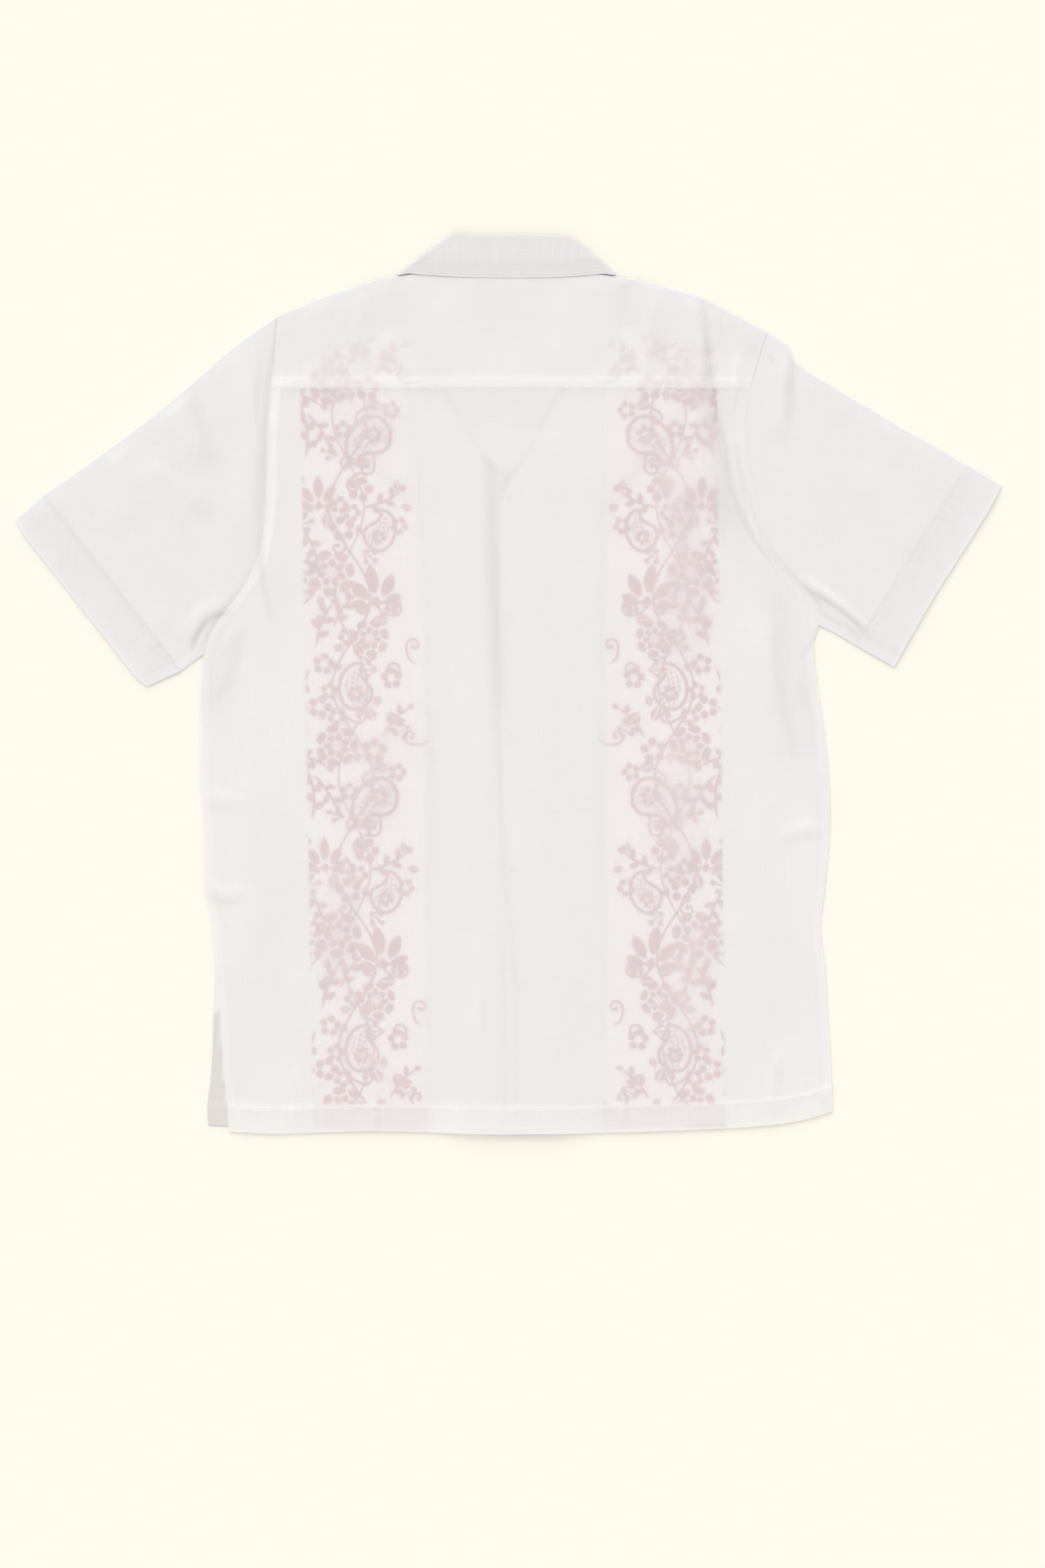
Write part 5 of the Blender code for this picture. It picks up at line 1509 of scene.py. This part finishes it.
def make_buttons():
    """The five buttons, each turned a little further, and their sewing thread as one piece."""
    master = button_mesh()
    bodies = []
    for number, (x, y) in enumerate(BUTTON_PLACES, start=1):
        mesh = master.copy()
        turn = BUTTON_TURN * number
        spin = np.array([[math.cos(turn), -math.sin(turn)], [math.sin(turn), math.cos(turn)]])
        for vertex in mesh.vertices:
            px, py = spin @ np.array(vertex.co[:2])
            vertex.co = (px + x * MM, py + (y + SHIFT_Y) * MM, vertex.co[2])
        piece = place_mesh(f"shell_button_{number}", mesh)
        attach(piece, "root")
        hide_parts(f"button_{number}")
        half = HOLE["reach"] * BAR_HALF
        for side in (-1.0, 1.0):
            bar = np.array([[-half, side * BAR_PLACE], [half, side * BAR_PLACE]]) @ spin.T
            for height in BAR_HEIGHTS:
                line = bar + np.array([x, y]) + np.array([0.0, height * BAR_LEAN])
                bodies.append(thread_bar(line, height))
        bodies.append(thread_post(x, y))
    points = []
    faces = []
    for body_points, body_faces in bodies:
        faces += [[len(points) + i for i in face] for face in body_faces]
        points += body_points
    add_piece("button_threads", points, faces, white_thread, sharp=180.0)


def rod_faces(sides):
    """Faces of a closed rod between two rings of points."""
    faces = [[k, (k + 1) % sides, sides + (k + 1) % sides, sides + k] for k in range(sides)]
    return faces + [list(range(sides))[::-1], list(range(sides, 2 * sides))]


def thread_bar(line, z):
    """A straight thread between two plan points."""
    ahead = unit(line[1] - line[0])
    across = np.array([-ahead[1], ahead[0]])
    points = []
    for end in line:
        for k in range(BAR_SIDES):
            a = 2 * math.pi * k / BAR_SIDES
            plan = end + across * BAR_RADIUS * math.cos(a)
            points.append((plan[0], plan[1], z + BAR_RADIUS * math.sin(a)))
    return points, rod_faces(BAR_SIDES)


def thread_post(x, y):
    """The wound shank between a button and the cloth."""
    points = []
    for z in (BUTTON_HEIGHT - POST_SINK, POST_TOP):
        for k in range(POST_SIDES):
            a = 2 * math.pi * k / POST_SIDES
            points.append((x + POST_RADIUS * math.cos(a), y + POST_RADIUS * math.sin(a), z))
    return points, rod_faces(POST_SIDES)


def make_label():
    """Blank label under the yoke at the neck, with a rounded lower end."""
    rows = []
    for up in even(LABEL["rows"]):
        y = LABEL["low"] + (LABEL["high"] - LABEL["low"]) * up
        round_in = LABEL["round"] * (1.0 - ease(up / LABEL["share"]))
        left = LABEL["left"] + round_in
        right = LABEL["right"] - round_in
        shares = even(LABEL["columns"])
        bow = round_in * LABEL["bow"] * (1.0 - (2 * shares - 1) ** 2)
        rows.append(np.stack([mix(left, right, shares), y - bow], axis=-1))
    plan = np.stack(rows)
    z, _ = upper_layer(plan[..., 0], plan[..., 1])
    upper = layer(plan, z - LABEL["top"])
    lower = layer(plan, z - LABEL["bottom"])
    piece = shell("label_patch", upper, lower, label_cloth)
    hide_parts("neck_label")
    sewn = lower - RAISED
    border = [sewn[1:-1, 1], sewn[-2, 1:-1], sewn[1:-1, -2], sewn[1, 1:-1]]
    return piece, border


# Embroidery, in band millimetres: u from the straight outer seam inwards, v up the band, w through the cloth

REPEAT = 310.0
REPEAT_START = -430.0
REPEATS = 3
REACH_IN = 98.0             # how far in the motifs reach
SCALLOP = 14.0              # and how much their edge waves
SCALLOPS = 3.0              # waves in one repeat, from this phase
SCALLOP_PHASE = 0.9
RELIEF = 0.42               # rise of the thread over the middle of the cloth
RELIEF_MORE = 0.1           # and more on the upper face, all that is left of it over the hem
SEAM_TRIM = 0.3             # thread stops this far from a seam
HEM_TRIM = 0.4              # and this far from the hem's edge
PATCH_RING = (0.72, 0.85)   # inner ring of a patch: share of its outline, share of its height
# Section of a stroke: share of its half width, share of its height
STROKE_SECTION = [(-1.0, 0.0), (-0.55, 1.0), (0.55, 1.0), (1.0, 0.0), (0.55, -1.0), (-0.55, -1.0)]
STROKE_TIPS = 8.0           # each end narrows over one part in this many
HATCH_START = 0.6           # share of a spacing from an outline's edge to the first crossing thread
HATCH_MARGIN = 0.2
HATCH_SHORTEST = 1.2


def patch(outline, swell=1.0):
    """A raised fill with a rounded top and bottom."""
    rim = np.asarray(outline, dtype=float)
    count = len(rim)
    middle = rim.mean(axis=0)
    share, height = PATCH_RING
    inner = middle + (rim - middle) * share
    points = np.vstack([layer(rim, 0.0), layer(inner, height * swell), layer(inner, -height * swell),
                        layer(middle[None], swell), layer(middle[None], -swell)])
    faces = []
    for k in range(count):
        n = (k + 1) % count
        faces.append((k, n, count + n, count + k))
        faces.append((n, k, 2 * count + k, 2 * count + n))
        faces.append((count + k, count + n, 3 * count))
        faces.append((2 * count + n, 2 * count + k, 3 * count + 1))
    return points, faces


def stroke(line, width, swell=0.8, taper=0.45):
    """A rounded line of stitches that narrows towards its ends."""
    line = np.asarray(line, dtype=float)
    count = len(line)
    ahead = unit(np.gradient(line, axis=0))
    across = np.stack([-ahead[:, 1], ahead[:, 0]], axis=-1)
    shares = np.linspace(0.0, 1.0, count)
    half = width / 2 * (taper + (1.0 - taper) * ease(np.minimum(shares, 1.0 - shares) * STROKE_TIPS))
    rings = [layer(line + across * (half * side)[:, None], up * swell) for side, up in STROKE_SECTION]
    points = np.stack(rings, axis=1).reshape(-1, 3)
    sides = len(STROKE_SECTION)
    faces = [tuple(range(sides))[::-1], tuple(sides * (count - 1) + k for k in range(sides))]
    for start in range(0, sides * (count - 1), sides):
        for k in range(sides):
            n = (k + 1) % sides
            faces.append((start + k, start + n, start + sides + n, start + sides + k))
    return points, faces


def turned(points, place, angle):
    """Plan points turned by an angle in degrees and moved to a place."""
    a = math.radians(angle)
    spin = np.array([[math.cos(a), math.sin(a)], [-math.sin(a), math.cos(a)]])
    return np.asarray(points, dtype=float) @ spin + np.asarray(place, dtype=float)


def oval(length, width, tip=0.0, count=12):
    """Outline from the origin along x, pointed by the tip share."""
    a = np.linspace(0.0, 2 * math.pi, count, endpoint=False)
    x = length / 2 * (1.0 - np.cos(a))
    y = width / 2 * np.sin(a) * (1.0 - tip * np.cos(a / 2) ** 8 - tip * np.sin(a / 2) ** 8)
    return np.stack([x, y], axis=-1)


def curl(size, turns, count=18):
    """A spiral line from its outer end at the origin."""
    s = np.linspace(0.0, 1.0, count)
    radius = size * (1.0 - 0.82 * s)
    a = 2 * math.pi * turns * s
    return np.stack([radius * np.sin(a), size - radius * np.cos(a)], axis=-1)


def bloom(place, size, petals, turn):
    """Round full petals about an open middle."""
    found = []
    radius = size / 2
    for k in range(petals):
        way = turn + 360.0 * k / petals
        petal = oval(radius * 0.74, radius * 3.8 / petals + 0.5, 0.05)
        found.append(patch(turned(petal + [radius * 0.26, 0.0], place, way)))
    return found


def rose(place, size, petals, turn):
    """Two rings of full petals about a hatched middle."""
    found = []
    radius = size / 2
    for first, last, lean in ((0.55, 1.0, 0.0), (0.2, 0.62, 0.5)):
        width = 2 * math.pi * (first + last) / 2 * radius / petals
        for k in range(petals):
            way = turn + 360.0 * (k + lean) / petals
            petal = oval((last - first) * radius, width, 0.0) + [first * radius, 0.0]
            found.append(patch(turned(petal, place, way)))
    middle = oval(radius * 0.5, radius * 0.5) - [radius * 0.25, 0.0]
    for line in crossing_lines(middle, 1.9, 30.0):
        found.append(stroke(turned(line, place, turn), 0.9, swell=0.5, taper=0.9))
    return found


def leaf(place, size, turn, way=1.0):
    """Two halves beside an open vein."""
    found = []
    s = np.linspace(0.0, 1.0, 8)
    for side in (-1.0, 1.0):
        edge = np.stack([s * size, side * size * 0.30 * np.sin(math.pi * s ** 0.8)], axis=-1)
        vein = np.stack([s[-2:0:-1] * size, np.full(6, side * size * 0.025)], axis=-1)
        found.append(patch(turned(np.vstack([edge, vein]), place, turn)))
    return found


def sprig(place, size, turn, way):
    """A bent stem with leaves on alternate sides and a bud."""
    s = np.linspace(0.0, 1.0, 12)
    bend = way * 0.55
    line = np.stack([size * np.sin(bend * s) / bend, size * (1.0 - np.cos(bend * s)) / bend], axis=-1)
    found = [stroke(turned(line, place, turn), size * 0.06 + 1.1)]
    for k, share in enumerate((0.2, 0.4, 0.6, 0.8)):
        root = line[int(share * 11)]
        lean = math.degrees(bend * share) + (50.0 if k % 2 else -50.0)
        blade = turned(oval(size * 0.32, size * 0.19, 0.4), root, lean)
        found.append(patch(turned(blade, place, turn)))
    tip = turned(oval(size * 0.24, size * 0.2, 0.2), line[-1], math.degrees(bend))
    found.append(patch(turned(tip, place, turn)))
    return found


def scroll(place, size, turn, way):
    """A bowed stem that curls up round a knot."""
    line = curl(size * 0.34, 0.95) * [1.0, way]
    bow = way * -0.12 * size * np.sin(np.linspace(0.0, math.pi, 7))
    stem = np.stack([np.linspace(-size * 0.6, 0.0, 7), bow], axis=-1)
    whole = turned(np.vstack([stem[:-1], line]), place, turn)
    found = [stroke(whole, size * 0.09 + 0.9, taper=0.6)]
    knot = turned(oval(size * 0.22, size * 0.22) - [size * 0.11, 0.0], line[-1], 0.0)
    found.append(patch(turned(knot, place, turn)))
    return found


def berries(place, size, turn, way):
    """Three round berries on short stems."""
    found = []
    for lean, reach in ((-34.0 * way, 0.62), (2.0, 0.86), (36.0 * way, 0.6)):
        a = math.radians(lean)
        tip = np.array([math.cos(a), math.sin(a)]) * size * reach
        stem = np.stack([np.linspace(0.0, tip[0], 5), np.linspace(0.0, tip[1], 5)], axis=-1)
        found.append(stroke(turned(stem, place, turn), size * 0.07 + 0.8))
        ball = oval(size * 0.36, size * 0.36) - [size * 0.18, 0.0] + tip
        found.append(patch(turned(ball, place, turn)))
    return found


def drop_outline(size, way, scale=1.0, count=15):
    """A teardrop whose tip curls over, as a closed outline from its tip."""
    s = np.linspace(0.0, 1.0, count)
    bend = way * 1.9 * s ** 2.2
    steps = np.stack([np.cos(bend), np.sin(bend)], axis=-1) * (size * 1.12 / (count - 1))
    spine = np.vstack([[0.0, 0.0], np.cumsum(steps[:-1], axis=0)])
    across = np.stack([-np.sin(bend), np.cos(bend)], axis=-1)
    half = (size * 0.36 * scale * np.sin(math.pi * s ** 0.6) ** 0.85)[:, None]
    outline = np.vstack([spine + across * half, (spine - across * half)[-2:0:-1]])
    if scale < 1.0:
        heart = spine[count // 3]
        outline = heart + (outline - heart) * (0.5 + scale / 2)
    return outline


def crossing_lines(outline, spacing, angle):
    """Straight pieces inside an outline, a spacing apart."""
    found = []
    flat = turned(outline, (0.0, 0.0), -angle)
    low, high = flat[:, 1].min(), flat[:, 1].max()
    level = low + spacing * HATCH_START
    while level < high - HATCH_MARGIN:
        cuts = []
        for p, q in zip(flat, np.roll(flat, -1, axis=0)):
            if (p[1] - level) * (q[1] - level) < 0:
                cuts.append(p[0] + (q[0] - p[0]) * (level - p[1]) / (q[1] - p[1]))
        cuts.sort()
        for a, b in zip(cuts[::2], cuts[1::2]):
            if b - a > HATCH_SHORTEST:
                found.append(turned([(a, level), ((a + b) / 2, level), (b, level)], (0.0, 0.0), angle))
        level += spacing
    return found


def paisley(place, size, turn, way):
    """A curled drop with a bold rim, crossing threads and a bloom at its heart."""
    centre = np.array([-size * 0.4, 0.0])
    rim = drop_outline(size, way)
    line = drop_outline(size, way, 0.72)
    closed = turned(np.vstack([rim, rim[:1]]) + centre, place, turn)
    found = [stroke(closed, size * 0.07 + 1.2, swell=1.0, taper=1.0)]
    for angle in (38.0, -42.0):
        for piece in crossing_lines(line, size * 0.11, angle):
            thread = turned(piece + centre, place, turn)
            found.append(stroke(thread, size * 0.02 + 0.7, swell=0.45, taper=0.9))
    heart = turned([(size * 0.36, 0.0)] + centre, place, turn)[0]
    return found + bloom(heart, size * 0.4, 6, turn)


# Petals of a lotus: lean in degrees, then reach and width as shares of its size
LOTUS_PETALS = [
    (-70.0, 0.56, 0.27),
    (-35.0, 0.78, 0.30),
    (0.0, 0.92, 0.32),
    (35.0, 0.78, 0.30),
    (70.0, 0.56, 0.27),
]


def lotus(place, size, turn, way):
    """A fan of pointed petals on a calyx with a scroll to each side."""
    found = []
    base = np.array([-size * 0.42, 0.0])
    for lean, reach, width in LOTUS_PETALS:
        petal = oval(size * reach * 0.74, size * width, 0.5, 14) + [size * reach * 0.26, 0.0]
        blade = turned(petal, base, lean)
        found.append(patch(turned(blade, place, turn)))
    found.append(patch(turned(oval(size * 0.26, size * 0.2, 0.2) + base, place, turn)))
    for side in (-1.0, 1.0):
        hook = curl(size * 0.14, 0.7, 10) * [1.0, side] + base
        found.append(stroke(turned(hook, place, turn), size * 0.05 + 1.0, taper=0.6))
    return found


# Main motifs of one repeat: kind, u, v, size, turn in degrees, way
MOTIFS = [
    ("paisley", 60.0, 22.0, 44.0, 196.0, 1.0),
    ("sprig", 4.0, 4.0, 40.0, 78.0, 1.0),
    ("rose", 26.0, 66.0, 38.0, 0.0, 1.0),
    ("bloom", 58.0, 62.0, 24.0, 12.0, 1.0),
    ("sprig", 66.0, 74.0, 32.0, 64.0, -1.0),
    ("bloom", 12.0, 99.0, 22.0, 0.0, 1.0),
    ("paisley", 42.0, 112.0, 38.0, 118.0, -1.0),
    ("bloom", 74.0, 124.0, 20.0, 24.0, 1.0),
    ("bloom", 16.0, 136.0, 20.0, 8.0, 1.0),
    ("rose", 56.0, 158.0, 34.0, 18.0, 1.0),
    ("sprig", 10.0, 152.0, 38.0, 84.0, -1.0),
    ("lotus", 60.0, 202.0, 44.0, 100.0, 1.0),
    ("rose", 24.0, 214.0, 42.0, 8.0, 1.0),
    ("paisley", 66.0, 246.0, 34.0, 40.0, 1.0),
    ("bloom", 34.0, 252.0, 24.0, 30.0, 1.0),
    ("lotus", 14.0, 282.0, 34.0, 92.0, 1.0),
    ("bloom", 50.0, 286.0, 24.0, 0.0, 1.0),
]
# Fillers: kind, size, number of tries
FILLERS = [
    ("sprig", 34.0, 260),
    ("scroll", 22.0, 300),
    ("bloom_small", 17.0, 200),
    ("leaf", 17.0, 420),
    ("berries", 16.0, 300),
    ("leaf", 12.0, 520),
]
FILLER_SEED = 11
FILLER_SPACING = 0.80       # share of two radii that fillers keep apart
FILLER_THINNING = 0.6       # share of them left out at the inner edge
MOTIF_RADIUS = 0.44         # room that a main motif and a filler take, as shares of their size
FILLER_RADIUS = 0.46
FILLER_MIDDLE = 0.45        # from a filler's root to its middle
# Two stems that wind about each other up the band: phase, swing, width
STEMS = [(0.0, 17.0, 3.0), (math.pi, 13.0, 2.4)]
STEM_MIDDLE = 40.0
STEM_POINTS = 90
DRAWN = {
    "paisley": paisley,
    "lotus": lotus,
    "rose": lambda place, size, turn, way: rose(place, size, 7, turn),
    "bloom": lambda place, size, turn, way: bloom(place, size, 5, turn),
    "bloom_small": lambda place, size, turn, way: bloom(place, size, 5, turn),
    "leaf": leaf,
    "sprig": sprig,
    "scroll": scroll,
    "berries": berries,
}


def inner_limit(v):
    """How far in the motifs may reach at this height."""
    return REACH_IN - SCALLOP * (1.0 + math.sin(2 * math.pi * v / REPEAT * SCALLOPS + SCALLOP_PHASE))


def crowded(u, v, radius, taken):
    """Whether a round place overlaps one that is taken, in this repeat or the next."""
    for a, b, other in taken:
        apart = math.hypot(u - a, (v - b + REPEAT / 2) % REPEAT - REPEAT / 2)
        if apart < (radius + other) * FILLER_SPACING:
            return True
    return False


def one_repeat():
    """All raised forms of one repeat."""
    forms = []
    taken = [(u, v, size * MOTIF_RADIUS) for _, u, v, size, _, _ in MOTIFS]
    for kind, u, v, size, turn, way in MOTIFS:
        forms += DRAWN[kind]((u, v), size, turn, way)
    draw = random.Random(FILLER_SEED)
    for kind, size, tries in FILLERS:
        for _ in range(tries):
            u = draw.uniform(-2.0, REACH_IN)
            v = draw.uniform(0.0, REPEAT)
            turn = draw.uniform(0.0, 360.0)
            way = draw.choice((-1.0, 1.0))
            radius = size * FILLER_RADIUS
            if u + radius > inner_limit(v) or draw.random() < FILLER_THINNING * (u / REACH_IN) ** 2:
                continue
            if crowded(u, v, radius, taken):
                continue
            taken.append((u, v, radius))
            root = turned([(-size * FILLER_MIDDLE, 0.0)], (u, v), turn)[0]
            start = (u, v) if kind == "bloom_small" else root
            forms += DRAWN[kind](start, size, turn, way)
    v = np.linspace(0.0, REPEAT, STEM_POINTS)
    for phase, swing, width in STEMS:
        u = STEM_MIDDLE + swing * np.sin(4 * math.pi * v / REPEAT + phase)
        forms.append(stroke(np.stack([u, v], axis=-1), width, swell=0.6, taper=1.0))
    return forms


def make_embroidery(side, forms):
    """The motifs of one band, raised on both faces of the cloth, cut off at its seams."""
    out = outward_of(side)
    points = []
    faces = []
    count = 0
    for number in range(REPEATS):
        start = REPEAT_START + REPEAT * number
        for form_points, form_faces in forms:
            v = form_points[:, 1] + start
            if v.max() < FRONT_HEM_Y or v.min() > FRONT_SEAM["left"][1][1]:
                continue
            x = band_outer_at(side, v)[0] - out * form_points[:, 0]
            points.append(np.stack([x, v, form_points[:, 2]], axis=-1))
            faces += [[count + i for i in face] for face in form_faces]
            count += len(x)
    points = np.vstack(points)
    base = front_under(side, points[:, 0], points[:, 1]) + FRONT_RISE + SHEET / 2
    above_hem = ease(points[:, 1] - (FRONT_HEM_Y + FRONT_HEM_WIDTH))
    rise = np.where(points[:, 2] > 0, RELIEF * above_hem + RELIEF_MORE, RELIEF)
    points[:, 2] = base + points[:, 2] * rise
    piece = add_piece("embroidery_" + side, points, faces, rose_thread, sharp=60.0)
    (x0, y0), (x1, y1) = BAND_OUTER[side]
    seam_way = unit(np.array([y1 - y0, x0 - x1])) * out
    (sx0, sy0), (sx1, sy1) = FRONT_SEAM[side]
    shoulder_way = unit(np.array([sy0 - sy1, sx1 - sx0]))
    shoulder_way = shoulder_way * np.sign(shoulder_way[1])
    hem_y = hem_at(side, 0.5 * (x0 + band_inner_at(side, FRONT_HEM_Y)[0]))[1]
    planes = [
        ((x0 - out * SEAM_TRIM, y0), seam_way),
        ((sx0, sy0 - SEAM_TRIM), shoulder_way),
        ((0.0, hem_y + HEM_TRIM), (0.0, -1.0)),
    ]
    shape = bmesh.new()
    shape.from_mesh(piece.data)
    for (px, py), (nx, ny) in planes:
        everything = list(shape.verts) + list(shape.edges) + list(shape.faces)
        bmesh.ops.bisect_plane(shape, geom=everything, plane_co=(px * MM, (py + SHIFT_Y) * MM, 0.0),
                               plane_no=(nx, ny, 0.0), clear_outer=True)
        open_edges = [edge for edge in shape.edges if edge.is_boundary]
        bmesh.ops.holes_fill(shape, edges=open_edges, sides=0)
    shape.to_mesh(piece.data)
    shape.free()
    return piece


# Camera, light and floor

PIXEL = 0.62                # millimetres of the shirt for each pixel of the 1445 by 2168 picture
PICTURE = (1445.0, 2168.0)
CHEST_PIXEL = (703.5, 944.0)
CAMERA_HEIGHT = 3.0
SENSOR = 36.0
KEY_GLOW = 2.66             # brightness of the soft box's middle over the fill
KEY_SHARPNESS = 8.0         # how fast the soft box falls off towards its edge
KEY_LEAN = (48.0, 22.0)     # degrees from straight above, towards the collar and the wearer's left
FILL_GLOW = 0.825
STUDIO_TINT = (1.0, 0.994, 0.984)
FLOOR_TONE = (0.876, 0.843, 0.764)
FLOOR_RADIUS = 9.0          # metres, as the camera's height
FLOOR_SIDES = 96
FLOOR_DROP = 0.0002


def make_floor():
    shape = bmesh.new()
    bmesh.ops.create_circle(shape, cap_ends=True, segments=FLOOR_SIDES, radius=FLOOR_RADIUS)
    mesh = mesh_from(shape, "floor")
    n = Nodes("pale_floor")
    paper = n.add("ShaderNodeBsdfDiffuse")
    paper.inputs["Color"].default_value = (*FLOOR_TONE, 1.0)
    n.join(paper.outputs[0], n.output.inputs["Surface"])
    mesh.materials.append(n.material)
    floor = place_mesh("floor", mesh)
    floor.location.z = -FLOOR_DROP


def soft_box_studio():
    """An even fill with one large soft box, as light from all round that is brighter on one side."""
    world = bpy.data.worlds.new("studio")
    world.use_nodes = True
    tree = world.node_tree
    background = tree.nodes["Background"]
    background.inputs["Color"].default_value = (*STUDIO_TINT, 1.0)
    back, across = (math.radians(angle) for angle in KEY_LEAN)
    towards_box = (-math.cos(back) * math.sin(across), math.sin(back), math.cos(back) * math.cos(across))
    place = tree.nodes.new("ShaderNodeTexCoord")
    facing = tree.nodes.new("ShaderNodeVectorMath")
    facing.operation = "DOT_PRODUCT"
    facing.inputs[1].default_value = towards_box
    tree.links.new(place.outputs["Generated"], facing.inputs[0])
    value = facing.outputs["Value"]
    steps = (("MAXIMUM", 0.0), ("POWER", KEY_SHARPNESS), ("MULTIPLY", KEY_GLOW), ("ADD", FILL_GLOW))
    for operation, number in steps:
        step = tree.nodes.new("ShaderNodeMath")
        step.operation = operation
        step.inputs[1].default_value = number
        tree.links.new(value, step.inputs[0])
        value = step.outputs[0]
    tree.links.new(value, background.inputs["Strength"])
    world.cycles.sampling_method = "NONE"
    return world


def make_view():
    scene = bpy.context.scene
    camera = bpy.data.objects.new("camera", bpy.data.cameras.new("camera"))
    camera.data.sensor_fit = "VERTICAL"
    camera.data.sensor_height = SENSOR
    camera.data.lens = SENSOR * CAMERA_HEIGHT / (PICTURE[1] * PIXEL * MM)
    camera.location = ((PICTURE[0] / 2 - CHEST_PIXEL[0]) * PIXEL * MM,
                       ((CHEST_PIXEL[1] - PICTURE[1] / 2) * PIXEL + SHIFT_Y) * MM, CAMERA_HEIGHT)
    scene.collection.objects.link(camera)
    scene.camera = camera

    scene.world = soft_box_studio()
    scene.view_settings.view_transform = "Standard"
    scene.view_settings.look = "None"


# The whole shirt

make_view()
make_floor()
back, hem_line = make_back()
yoke, seam_line = make_yoke()
label, label_border = make_label()
collar, collar_line = make_collar()
stitch_lines = {"back_stitches": [hem_line], "yoke_stitches": [seam_line], "label_stitches": label_border,
                "collar_stitches": [collar_line]}
forms = one_repeat()
for side in ("left", "right"):
    side_front = make_side_front(side)
    band = make_band(side)
    embroidery = make_embroidery(side, forms)
    centre, edge_line = make_centre(side)
    sleeve, cuff_line = make_sleeve(side)
    stitch_lines["front_stitches_" + side] = [edge_line]
    stitch_lines["sleeve_stitches_" + side] = [cuff_line]
make_buttons()
threads = {name: lay_stitches(name, lines, white_thread) for name, lines in stitch_lines.items()}
